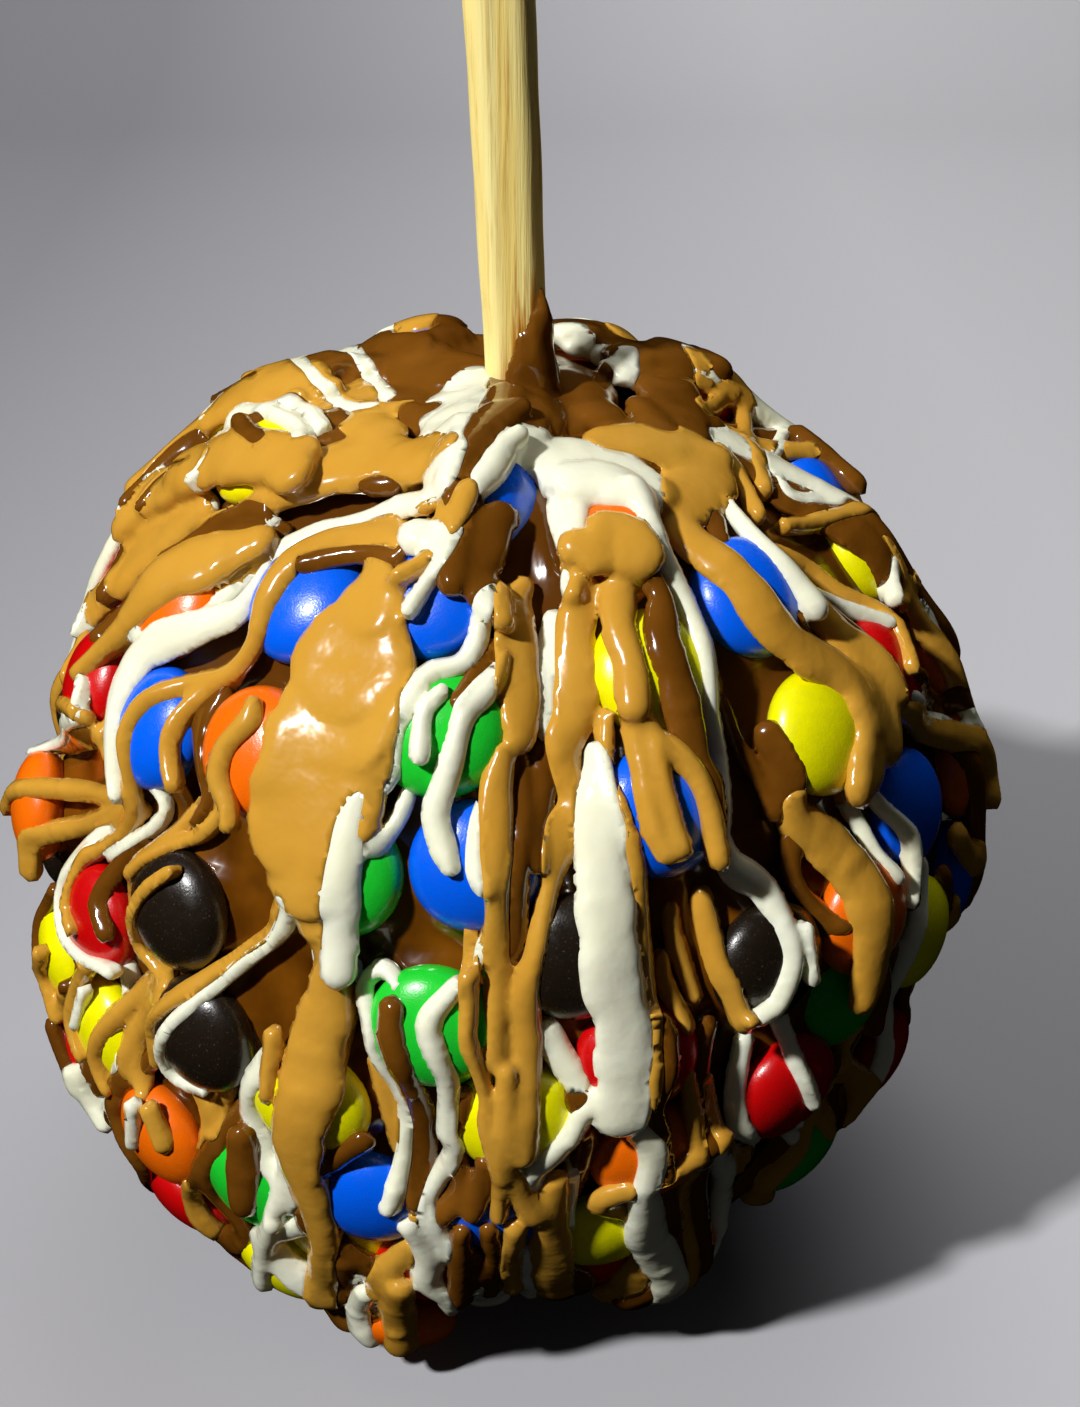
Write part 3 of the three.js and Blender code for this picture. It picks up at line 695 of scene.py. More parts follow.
tanRuns = [
    [(-95, 76, 3.4), (-80, 73, 4.4), (-66, 74, 4.4), (-52, 74, 4)],
    [(-54, 64, 4), (-62, 64, 5), (-70, 62, 5), (-78, 59, 5), (-86, 54, 5), (-90, 49, 4),
     (-91, 44, 2.4)],
    [(-78, 55, 3), (-82, 50, 3.6), (-84, 45, 3), (-85, 40, 2)],
    [(-95, 70, 4), (-100, 64, 4.6), (-102, 58, 4.4), (-101, 52, 3.4), (-98, 46, 2.4)],
    [(-14, 70, 2), (-23, 71, 4), (-32, 71.5, 5), (-42, 71, 5.6), (-50, 68, 5), (-56, 64, 3.7),
     (-62, 60, 2.1), (-70, 56, 1.6), (-80, 52, 1.5), (-86, 47, 1.3)],
    [(-60, 79, 2.2), (-76, 74, 1.8), (-92, 68, 1.7), (-110, 61, 1.4)],
    [(-109, 60, 1.1), (-116, 62, 1.2), (-123, 62, 1.1)],
    [(-88, 72, 3), (-100, 69, 3.2), (-106, 64, 2.6)],
    [(-53, 57, 3.2), (-58, 53, 5.4), (-62, 49, 5.8), (-64, 45, 4.2), (-66, 41, 2.4),
     (-69, 37, 1.7), (-71, 33, 1.4)],
    [(-15, 63, 3), (-20, 62, 3.5), (-26, 62, 3.6), (-34, 60, 3.4), (-39, 56, 3.3), (-40, 52, 2.6),
     (-40, 48, 1.8), (-43, 44, 1.6), (-47, 42, 1.5), (-50, 40, 1.6), (-53, 37, 1.8),
     (-54, 33, 1.7), (-53, 29, 1.5), (-53, 25, 1.6), (-56, 20, 1.4), (-60, 15, 1.1), (-60, 10, 1),
     (-57, 8, 1)],
    [(-43, 44, 1.4), (-46, 41, 1.5), (-47, 38, 1.5), (-47, 35, 1.5), (-46, 33, 1.3),
     (-44, 31, 1.1)],
    [(-84, 32, 1.7), (-79, 29, 1.6)],
    [(-60, 35, 1.2), (-64, 32, 1.4), (-64, 28, 1.4), (-60, 27, 1.2)],
    [(-67, 30, 1.3), (-73, 28, 1.3), (-84, 21, 1.1)],
    [(-57, 25, 1.4), (-63, 22, 1.6), (-70, 19, 1.8), (-78, 14, 1.7), (-82, 9, 1.3)],
    [(-53, 25, 1.6), (-60, 21, 1.7), (-67, 16, 1.8), (-74, 10, 1.9), (-75, 5, 1.7)],
    [(-7, 65, 1.7), (-9, 62, 1.7), (-13, 58, 1.3), (-17, 56, 1.1)],
    [(-23, 59, 2), (-22, 56, 4), (-21.5, 54, 6.4), (-22, 50, 9.6), (-22, 46, 10.6),
     (-22, 42, 10.8), (-23, 38, 11), (-23, 34, 11), (-23, 30, 9), (-22, 26, 6), (-21, 22, 3.2),
     (-20, 19, 1.8), (-20, 16, 3), (-20, 13, 4), (-21, 8, 4.7), (-21, 3, 5.2), (-22, -2, 4.8),
     (-22, -7, 4), (-21, -12, 3.2), (-20, -18, 2.6), (-21, -25, 2.7), (-22, -31, 2.9),
     (-23, -36, 2.7)],
    [(50, 73, 4), (60, 69, 5.4), (62, 65, 5.6), (51, 64, 6), (42, 62, 4), (40, 59, 3.5),
     (41, 56, 3.4), (42, 52, 3.6), (43, 48, 3.8), (46, 44, 4), (50, 41, 4.2), (52, 38, 5.2),
     (52, 34, 5.6), (49, 31, 5), (46, 29, 3)],
    [(57, 53, 1.1), (57, 50, 1.8), (57, 47, 2), (57, 43, 2.6), (58, 39, 4.4), (57, 35, 4.6),
     (54, 31, 3.4)],
    [(44, 74, 4), (54, 72, 5), (66, 69, 4), (70, 65, 2.6)],
    [(94, 68, 1.3), (112, 61, 1.4), (107, 60, 1.6), (88, 61, 1.5), (74, 59, 1.3)],
    [(78, 65, 1.4), (70, 61, 1.5), (64, 58, 1.2)],
    [(69, 55, 1.3), (76, 52, 1.2), (86, 47, 1.2), (92, 42, 1.2), (88, 38, 1.2), (78, 38, 1.1)],
    [(62, 54, 1.1), (63, 53, 1.3), (66, 50, 1.4), (67, 46, 1.3), (69, 42, 1.3), (68, 39, 1.2),
     (64, 35, 1)],
    [(61, 32, 1.4), (68, 27, 2.1), (78, 19, 2.6), (80, 14, 1.9), (78, 11, 1.5)],
    [(38, 30, 2.2), (39, 28, 3.4), (42, 24, 4.1), (44, 19, 4.4), (44, 14, 4.3), (43, 9, 3.6),
     (42, 6, 2.4)],
    [(70, 11, 2.6), (74, 5, 2.3)],
    [(14, 60, 3), (17, 59.5, 4.8), (21, 60, 4.8), (24, 58, 3.6)],
    [(15, 57, 2.9), (12, 53, 3.1), (11, 49, 3.3), (10, 45, 3.3), (8, 42, 2.9), (8, 39, 2.1),
     (8, 36, 1.4), (7, 34, 2.6), (6, 31, 2.4), (5, 28, 1.6), (4, 25, 1.4), (3, 21, 1.6),
     (2, 17, 2), (2, 12, 2.6), (2, 8, 2.4), (2, 3, 2.5), (2, -2, 2)],
    [(20, 56, 2.9), (18, 52, 2.7), (18, 48, 2.5), (17, 44, 2.3)],
    [(14, 44, 1.2), (13, 38, 1.2), (14, 33, 1.2), (15, 28, 1.3), (15, 20, 1.4), (15, 12, 1.5),
     (15, 5, 1.5), (14, 1, 1.1)],
    [(17, 43, 1.7), (17, 38, 1.8), (17, 33, 1.8), (18, 30, 1.6)],
    [(19, 40, 1.5), (19, 35, 1.5), (19.5, 30, 1.4)],
    [(18, 43, 1.8), (20, 40, 1.9), (23, 37, 1.5), (24, 33, 1.4), (24, 28, 1.3)],
    [(4, 58, 1.6), (2, 56, 2.6), (2, 52, 3.3), (2, 48, 3.3), (2, 45, 3), (2, 42.5, 2)],
    [(0, 41, 1.6), (-1, 38, 2.3), (-1, 34, 2.5), (-1, 30, 2), (-1, 26, 1.7), (-1, 22, 1.6),
     (-1, 18, 1.9), (-1, 14, 2.1), (-1, 9, 1.7)],
    [(-4, 19, 1.3), (-4, 15, 1.3), (-4, 12, 1.3), (-3, 9, 1.1), (-2, 5, 1), (-2, 2, 1.1),
     (-1, -2, 1.2), (0, -5, 1.2)],
    [(0, 8, 1.6), (0, 5, 1.9), (0, 1, 2.2), (0, -3, 2), (0, -6, 1.4), (0, -12, 1.2)],
    [(-4, 24, 0.8), (-4, 20, 0.8)],
    [(20, 23, 1.2), (20, 20, 1.4), (21, 16, 1.4), (22, 12, 1)],
    [(18, 18, 1), (18, 15, 1.4), (20, 10, 1.1)],
    [(24, 24, 1.4), (24, 20, 1.9), (24, 16, 1.7), (25, 13, 1.5), (26, 9, 1.2)],
    [(42, -7, 2.1), (44, -13, 2.4), (48, -20, 1.9)],
    [(47, -9, 2.2), (53, -16, 2.4), (53, -21, 2)],
    [(20, 4, 1.2), (21, -2, 1.2), (22, -9, 1.2), (23, -16, 1.2), (25, -24, 1.2), (27, -31, 1.3),
     (27, -36, 1.6)],
    [(23, 2, 1), (24, -3, 1.2), (25, -7, 1.1)],
    [(31, -13, 1), (34, -21, 1)],
    [(6, -8, 2.3), (6, -15, 3), (7, -22, 3.5), (8, -29, 3.3), (9, -34, 2.6)],
    [(2, -14, 1.8), (2, -22, 1.7), (3, -31, 1.4)],
    [(1, -4, 1.5), (2, -8, 1.9), (4, -12, 2)],
    [(-11, -26, 2.6), (-12, -33, 3.2), (-12, -40, 2.8)],
    [(-26, 8, 1.4), (-26, 1, 1.1)],
    [(-44, 8, 2), (-48, 3, 2), (-52, -3, 1.7), (-53, -8, 1.3), (-51, -11, 1)],
    [(-42, 8, 1.8), (-45, 3, 2.1), (-48, -3, 2), (-48, -7, 1.8), (-46, -10, 1.3)],
    [(-55, 4, 1.4), (-58, -1, 1.4), (-59, -6, 1.2), (-56, -9, 1)],
    [(-68, -2, 1.5), (-70, -7, 1.4), (-67, -11, 1.2)],
    [(-43, -9, 1.4), (-41, -13, 1.5)],
    [(-34, -4, 2), (-36, -9, 2.5)],
    [(-38, 32, 1), (-38, 30, 1), (-40, 27, 1), (-44, 24, 1), (-48, 20, 1.1), (-50, 16, 1.1),
     (-50, 13, 0.9), (-47, 10, 0.8)],
    [(-42, 30, 1), (-44, 26, 1.1), (-47, 22, 1), (-49, 19, 0.8)],
    [(-40, 23, 0.9), (-43, 20, 1), (-45, 17, 1), (-47, 13, 1), (-47, 10, 1), (-43, 8, 0.9)],
    [(-26, 25, 1.3), (-27, 22, 1.6), (-28, 19, 1.6), (-31, 16, 1.5), (-35, 12, 1.4),
     (-39, 8, 1.4), (-42, 4, 1.2), (-43, 0, 1.1), (-43, -3, 1)],
    [(-34, 42, 1.1), (-34, 40, 1.9), (-36, 37, 1.9), (-36, 34, 1.9), (-34, 32, 1.4),
     (-33, 30, 1.1)],
]
lateWhite = [
    [(-94, 51, 0.9), (-94, 48, 1), (-91, 45, 0.8)],
    [(-86, 60, 0.8), (-78, 59, 0.9), (-76, 56, 0.8)],
    [(-100, 57, 1.3), (-107, 59, 1.6), (-114, 61, 1.5), (-120, 60, 1.3)],
    [(-84, 68, 1.1), (-75, 70, 1.4), (-64, 70, 1.1)],
    [(-82, 61, 1.1), (-94, 61, 1.4), (-90, 64, 1.6), (-77, 67, 1.6), (-67, 68, 1.5),
     (-60, 67, 1.1)],
    [(-120, 63, 1), (-92, 71, 1.5), (-74, 74, 1.5), (-68, 76, 1.1)],
    [(-122, 61, 1.2), (-126, 62, 1.5), (-130, 64, 1.7), (-128, 69, 1.6), (-112, 74, 1.5),
     (-80, 78, 1.2)],
    [(-46, 55, 1.3), (-46, 53, 1.8), (-47, 50, 2.4), (-50, 48, 2.9), (-54, 45, 3.2),
     (-58, 42, 3.5), (-60, 39, 3.9), (-60, 35, 3.9), (-58, 31, 3), (-56, 28, 2.1),
     (-54, 26, 1.3)],
    [(-50, 29, 1), (-48, 27, 1.1), (-50, 24, 1.1), (-53, 21, 1.1), (-57, 17, 1)],
    [(-25, 24, 1.7), (-26, 21, 1.4), (-28, 18, 1), (-31, 15, 1), (-35, 10, 1.1), (-38, 6, 1.1),
     (-40, 2, 1.1), (-41, -2, 1.1), (-39, -4, 1), (-35, -3, 0.8)],
    [(-17, 36, 1.2), (-18, 33, 2), (-18, 29, 2.6), (-18, 25, 2.8), (-18, 21, 2.8),
     (-18, 18, 2.4)],
    [(-12, 37, 1), (-13, 34, 1.1), (-15, 31, 1.2)],
    [(12, 41, 1.2), (12, 39, 2), (11, 36, 3.1), (11, 32, 3.8), (11, 28, 4.3), (11, 23, 4.8),
     (11, 18, 4.8), (12, 13, 4.5), (12, 7, 4.4), (12, 2, 3.5)],
    [(12, 1, 1.5), (14, -1, 1.9), (16, -4, 2.2), (16, -8, 2), (16, -11, 2.1), (17, -15, 3.2),
     (18, -20, 3.6), (21, -26, 3.6), (24, -32, 3.4), (25, -37, 2.6)],
    [(-12, 60, 2.6), (-15.5, 60.5, 2.8)],
]
lateBrown = [
    [(6, 83, 3.6), (0, 79, 3.6), (-4, 75, 3), (-6, 71, 2.2)],
    [(-46, 80, 2.4), (-56, 79, 2)],
    [(-68, 72, 2), (-74, 72, 1.4)],
    [(-66, 64, 1.6), (-74, 63.5, 2), (-82, 63, 1.6)],
    [(-92, 58, 1.2), (-98, 55, 1.4), (-97, 50, 1.4), (-92, 46, 1.2)],
    [(-102, 64, 1.2), (-106, 62, 1.4), (-107, 57, 1.2)],
    [(-84, 56, 1), (-90, 52, 1.2), (-88, 48, 1)],
    [(-58, 60, 1.2), (-65, 58, 1.4), (-72, 53, 1.4), (-76, 48, 1.3)],
    [(-36, 56, 1.4), (-31, 58, 1.7), (-25, 59, 1.6), (-19, 58.5, 1.4)],
    [(50, 60, 1.9), (46, 58, 1.7)],
    [(40, 86, 4), (30, 82, 4.5), (20, 79, 3.8)],
    [(118, 81, 3.2), (84, 80, 3.6), (62, 78, 4)],
    [(84, 75, 2.6), (68, 72, 3)],
    [(126, 63, 3.2), (114, 64, 2.8)],
    [(78, 70, 2.4), (91, 66, 2)],
    [(106, 53, 2), (102, 51, 2.8), (97, 47, 2.2)],
]

def backPours(seed):
    # drips down the sides and the back, where the apple's far side carries on like its front
    found = []
    k = seed
    for az in np.arange(80, 272, 4.2):
        k += 1
        sauceName = ("brown", "white", "tan")[k % 3]
        start = 72 + 5 * wobble(k + 0.1)
        end = (8 + 30 * wobble(k + 0.2)) if k % 3 == 0 else (-18 + 18 * wobble(k + 0.3))
        width = 2.2 + 0.8 * wobble(k + 0.4)
        sway = 3.5 + 2 * wobble(k + 0.5)
        count = max(5, int((start - end) / 9))
        stops = []
        for i in range(count + 1):
            t = i / count
            swell = 1 + 0.3 * math.sin(t * 9 + k) + 0.8 * (1 - t) ** 3
            lat = start + (end - start) * t
            turn = sway * math.sin(t * 7 + k) / max(math.cos(math.radians(lat)), 0.4)
            stops.append((az + 4 * wobble(k + 0.6) + turn, lat, width * swell))
        found.append((sauceName, stops))
    return found


candySpots = []
for centre, axis in allCandies:
    c = fromHeart(centre)
    candySpots.append(c / np.linalg.norm(c))
candySpots = np.array(candySpots)


def asideOfCandies(stops, room=6.6):
    # shifts a run's stops sideways so that it passes between the candies
    moved = []
    for az, lat, width in stops:
        for _ in range(2):
            unit = unitFrom(az, lat)
            gaps = np.linalg.norm(candySpots - unit, axis=1) * sauceLook["middle"]
            i = gaps.argmin()
            if gaps[i] < room:
                candyAz, _ = anglesOf(candySpots[i])
                turn = (az - candyAz + 540) % 360 - 180
                flat = max(math.cos(math.radians(lat)), 0.3)
                push = (room - gaps[i]) / sauceLook["middle"] / flat
                az = az + math.degrees(push) * (1 if turn > 0 else -1)
        moved.append((float(az), lat, width))
    return moved


def skirtPours(seed):
    # short drips that hang close together low on the front
    found = []
    for i, az in enumerate(np.arange(-74, 92, 7.0)):
        k = seed + i
        sauceName = ("brown", "tan", "brown", "white")[i % 4]
        start = 8 + 14 * wobble(k + 0.1)
        end = -36 + 6 * wobble(k + 0.2)
        width = 2.2 + 0.5 * wobble(k + 0.4)
        stops = []
        for j in range(6):
            t = j / 5
            turn = 2.2 * math.sin(t * 6 + k) + 1.5 * wobble(k + 0.6)
            stops.append((az + turn, start + (end - start) * t, width * (0.85 + 0.5 * t * t)))
        found.append((sauceName, asideOfCandies(stops)))
    return found


pours = backPours(11) + skirtPours(40)
for sauceName, runs in (
    ("brown", underBrown), ("white", whiteRuns), ("tan", tanRuns),
    ("white", lateWhite), ("brown", lateBrown),
):
    pours += [(sauceName, stops) for stops in runs]


def kernel(count, sigma):
    # rows of Gaussian weights, one for each sample of a line
    k = np.arange(count)
    w = np.exp(-0.5 * ((k[:, None] - k[None, :]) / max(sigma, 1e-3)) ** 2)
    return w / w.sum(axis=1, keepdims=True)


def runLine(stops, seed):
    # smooth line of unit vectors through the stops, with its width in mm
    stops = np.array(stops, float)
    places = unitFrom(stops[:, 0], stops[:, 1]) * sauceLook["middle"]
    knots = np.concatenate([places, stops[:, 2:3]], axis=1)
    knots = np.concatenate([2 * knots[:1] - knots[1:2], knots, 2 * knots[-1:] - knots[-2:-1]])
    out = []
    for i in range(1, len(knots) - 2):
        a, b, c, d = knots[i - 1:i + 3]
        n = max(2, int(np.ceil(np.linalg.norm((c - b)[:3]) / 0.2)))
        t = np.linspace(0, 1, n, endpoint=False)[:, None]
        out.append(0.5 * (2 * b + (c - a) * t + (2 * a - 5 * b + 4 * c - d) * t ** 2
                          + (3 * b - a - 3 * c + d) * t ** 3))
    line = np.concatenate(out + [knots[-2:-1]])
    s = np.concatenate([[0], np.cumsum(np.linalg.norm(np.diff(line[:, :3], axis=0), axis=1))])
    count = max(3, int(s[-1] / sauceLook["spacing"]) + 1)
    even = np.linspace(0, s[-1], count)
    line = np.stack([np.interp(even, s, line[:, k]) for k in range(4)], axis=1)
    unit = line[:, :3] / np.linalg.norm(line[:, :3], axis=1, keepdims=True)
    wave = np.sin(even * 0.9 + seed) + 0.7 * np.sin(even * 1.7 + 2.1 * seed)
    spread = sauceLook["widen"] + sauceLook["widenPools"] * ramp(line[:, 3], 1.5, 5)
    width = line[:, 3] * spread * (1 + 0.045 * wave)
    tip = np.exp(-((even[-1] - even) / 1.8) ** 2)
    return unit, width * (1 + 0.2 * tip), tip


class Run:
    # one poured run: its line, its bed over what lies below, and its section
    def __init__(self, stops, seed, solid, total):
        self.unit, width, tip = runLine(stops, seed)
        self.half = width / 2
        tall = sauceLook["thin"] + sauceLook["full"] * (1 - np.exp(-width / 4))
        self.tall = tall * (1 + 0.15 * tip)
        self.power = 2.1 + 0.9 * ramp(width, 3, 9)
        along = np.gradient(self.unit, axis=0)
        side = np.cross(along, self.unit)
        self.side = side / np.linalg.norm(side, axis=1, keepdims=True)
        self.reach = self.half.max() + 1.0
        self.columns = max(5, 2 * int(self.reach / 0.7) + 1)
        offsets = np.linspace(-self.reach, self.reach, self.columns)
        aside = self.side[:, None] * offsets[None, :, None] / sauceLook["middle"]
        spots = self.unit[:, None] + aside
        az, lat = anglesOf(spots / np.linalg.norm(spots, axis=2, keepdims=True))
        firm = readMap(solid, az, lat)
        bed = firm + sauceLook["share"] * (readMap(total, az, lat) - firm)
        inside = np.abs(offsets)[None, :] <= (self.half + 0.3)[:, None]
        floor = np.where(inside, bed, bed.min())
        drape = sauceLook["drape"] + sauceLook["drapeWide"] * width.mean()
        alongKernel = kernel(len(bed), drape / sauceLook["spacing"])
        pitch = offsets[1] - offsets[0]
        sideDrape = sauceLook["sideDrape"] + sauceLook["sideWide"] * self.half.mean()
        sideKernel = kernel(self.columns, sideDrape / pitch)
        middle = np.where(inside, bed, 0).sum(axis=1) / inside.sum(axis=1)
        env = np.where(inside, bed, middle[:, None])
        for _ in range(4):
            env = alongKernel @ np.maximum(env, floor) @ sideKernel.T
        bed = np.maximum(env, floor - sauceLook["sink"])
        even = kernel(len(bed), (1.0 + 0.12 * width.mean()) / sauceLook["spacing"])
        sideEven = kernel(self.columns, (0.4 + 0.12 * width.mean()) / pitch)
        self.bed = np.maximum(even @ bed @ sideEven.T, floor - sauceLook["sinkMost"])

    def nearest(self, units, first=0, last=None):
        # for each direction: distance to the line, place along it and to its side
        last = len(self.unit) if last is None else last
        a = self.unit[first:last - 1]
        d = self.unit[first + 1:last] - a
        dd = (d * d).sum(axis=1)
        va = units @ a.T
        vd = units @ d.T - (a * d).sum(axis=1)
        t = np.clip(vd / dd, 0, 1)
        gap = 2 - 2 * va - 2 * t * vd + t * t * dd
        pick = gap.argmin(axis=1)
        rows = np.arange(len(units))
        t = t[rows, pick]
        gap = np.sqrt(np.maximum(gap[rows, pick], 0))
        pick = pick + first
        aside = ((units - self.unit[pick]) * self.side[pick]).sum(axis=1)
        return gap, pick, t, aside

    def section(self, units, radius, first=0, last=None):
        gap, pick, t, aside = self.nearest(units, first, last)
        half = between(self.half[pick], self.half[pick + 1], t)
        tall = between(self.tall[pick], self.tall[pick + 1], t)
        power = self.power[pick]
        x = (aside * radius + self.reach) / (2 * self.reach) * (self.columns - 1)
        x = np.clip(x, 0, self.columns - 1.001)
        c = x.astype(int)
        f = x - c
        here = between(self.bed[pick, c], self.bed[pick, c + 1], f)
        there = between(self.bed[pick + 1, c], self.bed[pick + 1, c + 1], f)
        return gap * radius, half, tall, power, between(here, there, t)


def windowOf(unit, reach):
    # rows and columns of the height map that a line can touch
    az, lat = anglesOf(unit)
    pad = math.degrees(reach / 50) + 1
    low = max(int((lat.min() - pad - mapLow) / mapStep), 0)
    high = min(int((lat.max() + pad - mapLow) / mapStep) + 1, len(mapLat))
    if lat.max() + pad > 80:
        return slice(low, high), np.arange(len(mapAz))
    turn = np.degrees(np.unwrap(np.radians(az)))
    side = pad / math.cos(math.radians(max(abs(lat.min()), abs(lat.max())) + pad * 0.5))
    first = int(math.floor((turn.min() - side + 180) / mapStep))
    final = int(math.ceil((turn.max() + side + 180) / mapStep))
    return slice(low, high), np.arange(first, final + 1) % len(mapAz)


totalMap = solidMap.copy()
colourMaps = {name: np.full_like(coatMap, 9.0) for name in ("brown", "tan", "white")}
laidRuns = []
for seed, (sauceName, stops) in enumerate(pours):
    run = Run(stops, seed, solidMap, totalMap)
    laidRuns.append(run)
    rows, columns = windowOf(run.unit, run.reach + 2)
    units = gridDir[rows][:, columns].reshape(-1, 3)
    level = totalMap[rows][:, columns].reshape(-1)
    gap, half, tall, power, bed = run.section(units, level)
    shape = (rows.stop - rows.start, len(columns))
    edge = (gap - half).reshape(shape)
    dome = np.maximum(1 - (gap / half) ** power, 0) ** (1 / power)
    lift = sauceLook["edge"] + (1 - sauceLook["edge"]) * dome
    top = np.where(gap < half, bed + tall * lift, 0).reshape(shape)
    rowIndex = np.arange(rows.start, rows.stop)[:, None]
    below = totalMap[rowIndex, columns[None, :]]
    totalMap[rowIndex, columns[None, :]] = np.maximum(below, top)
    for name, sheet in colourMaps.items():
        here = sheet[rowIndex, columns[None, :]]
        sheet[rowIndex, columns[None, :]] = (
            np.minimum(here, edge) if name == sauceName else np.maximum(here, -edge)
        )
print("caramel apple: runs laid", len(laidRuns), round(time.time() - started, 1), "s")

for name, sheet in colourMaps.items():
    # soften the outlines a little
    for _ in range(2):
        sheet = (np.roll(sheet, 1, 1) + 2 * sheet + np.roll(sheet, -1, 1)) / 4
        sheet[1:-1] = (sheet[:-2] + 2 * sheet[1:-1] + sheet[2:]) / 4
    colourMaps[name] = sheet

voxel = sauceLook["voxel"]
boxLow = np.array([-60.0, -60.0, -42.0])
boxCount = (np.array([122.0, 120.0, 112.0]) / voxel).astype(int)
clearAway = 3.0  # distance written where there is no sauce near
field = np.full(boxCount, clearAway, np.float32)
scratch = np.full(boxCount, clearAway, np.float32)


def pourInto(field, scratch, run):
    # the run's own body first, then softly joined to what is there
    lowest = boxCount.copy()
    highest = np.zeros(3, int)
    chunk = 8
    margin = 1.6
    for first in range(0, len(run.unit) - 1, chunk):
        last = min(first + chunk + 1, len(run.unit))
        tallest = run.tall[first:last].max()
        top = run.bed[first:last].max() + tallest + margin
        low = run.bed[first:last].min() - tallest - margin
        pts = np.concatenate([run.unit[first:last] * top, run.unit[first:last] * low])
        reach = run.half[first:last].max() + margin
        i0 = np.clip(((pts.min(axis=0) - reach - boxLow) / voxel).astype(int), 0, boxCount - 1)
        i1 = np.clip(((pts.max(axis=0) + reach - boxLow) / voxel).astype(int) + 1, 1, boxCount)
        axes = [boxLow[k] + np.arange(i0[k], i1[k]) * voxel for k in range(3)]
        spots = np.stack(np.meshgrid(*axes, indexing="ij"), -1).reshape(-1, 3)
        radius = np.linalg.norm(spots, axis=1)
        keep = (radius > low) & (radius < top)
        if not keep.any():
            continue
        radius = radius[keep]
        units = spots[keep] / radius[:, None]
        gap, half, tall, power, bed = run.section(units, radius, first, last)
        up = radius - bed - sauceLook["edge"] * tall
        rise = np.where(up > 0, (1 - sauceLook["edge"]) * tall, sauceLook["under"] * tall)
        x = (gap / half) + 1e-4
        y = (np.abs(up) / rise) + 1e-4
        g = x ** power + y ** power
        shape = g ** (1 / power)
        steep = np.sqrt((x ** (power - 1) / half) ** 2 + (y ** (power - 1) / rise) ** 2)
        slope = shape ** (1 - power) * steep
        away = np.clip((shape - 1) / slope, -2.5, 2.5)
        block = scratch[i0[0]:i1[0], i0[1]:i1[1], i0[2]:i1[2]]
        flat = np.full(keep.shape, clearAway, np.float32)
        flat[keep] = away
        np.minimum(block, flat.reshape(block.shape), out=block)
        lowest = np.minimum(lowest, i0)
        highest = np.maximum(highest, i1)
    part = tuple(slice(a, b) for a, b in zip(lowest, highest))
    a = field[part]
    b = scratch[part]
    k = sauceLook["fillet"]
    h = np.clip(0.5 + 0.5 * (b - a) / k, 0, 1)
    field[part] = between(b, a, h) - k * h * (1 - h)
    scratch[part] = clearAway


for run in laidRuns:
    pourInto(field, scratch, run)
print("caramel apple: sauce volume", round(time.time() - started, 1), "s")


def surfaceNet(f):
    # one vertex for each cell that the surface crosses, a quad for each crossed edge
    n = np.array(f.shape)
    inside = f < 0
    strides = np.array([n[1] * n[2], n[2], 1])
    cells = []
    spots = []
    quads = []
    for axis in range(3):
        u = (axis + 1) % 3
        v = (axis + 2) % 3
        lower = [slice(1, -1)] * 3
        upper = [slice(1, -1)] * 3
        lower[axis] = slice(0, -1)
        upper[axis] = slice(1, None)
        a = inside[tuple(lower)]
        b = inside[tuple(upper)]
        start = np.argwhere(a != b)
        start[:, u] += 1
        start[:, v] += 1
        index = start @ strides
        fa = f.ravel()[index]
        fb = f.ravel()[index + strides[axis]]
        spot = start.astype(np.float64)
        spot[:, axis] += fa / (fa - fb)
        du = strides[u]
        dv = strides[v]
        ring = np.stack([index, index - du, index - du - dv, index - dv], 1)
        ring = np.where((fa < 0)[:, None], ring, ring[:, ::-1])
        quads.append(ring)
        for k in range(4):
            cells.append(ring[:, k])
            spots.append(spot)
    names, inverse = np.unique(np.concatenate(cells), return_inverse=True)
    spots = np.concatenate(spots)
    count = np.bincount(inverse)
    verts = np.stack([np.bincount(inverse, spots[:, k]) / count for k in range(3)], 1)
    faces = np.searchsorted(names, np.concatenate(quads))
    return verts, faces


def sauceMaterial(name, look):
    # poured sauce: smooth and wet, with faint clouds and specks
    material, g, shader, place = newMaterial(name)
    cloud = g.noise(place, 90, 3, 0.5)
    speck = g.noise(place, 420, 2, 0.5)
    shade = g.blend(g.steps(cloud, 0.3, 0.7), linear(look["colour"]), linear(look["second"]))
    rough = g.steps(speck, 0.3, 0.7, look["rough"], look["rough"] + 0.1)
    g.fill(shader, Base_Color=shade, Roughness=rough, Specular_IOR_Level=0.3,
           Coat_Weight=look["coat"], Coat_Roughness=0.03)
    if look["milky"]:
        g.fill(shader, Subsurface_Weight=look["milky"], Subsurface_Radius=(1.0, 0.7, 0.4),
               Subsurface_Scale=0.0016)
    g.bump(shader, 0.3, 0.0004, g.sum("ADD", cloud, speck))
    return material


sauces = dict(
    brown=dict(
        colour=(124, 76, 18), second=(92, 52, 8),
        rough=0.12, coat=0.8, milky=0, under=0.10,
    ),
    tan=dict(
        colour=(208, 155, 56), second=(198, 143, 46),
        rough=0.16, coat=0.75, milky=0.08, under=0.0,
    ),
    white=dict(
        colour=(246, 245, 222), second=(242, 240, 208),
        rough=0.14, coat=0.6, milky=0.25, under=0.05,
    ),
)


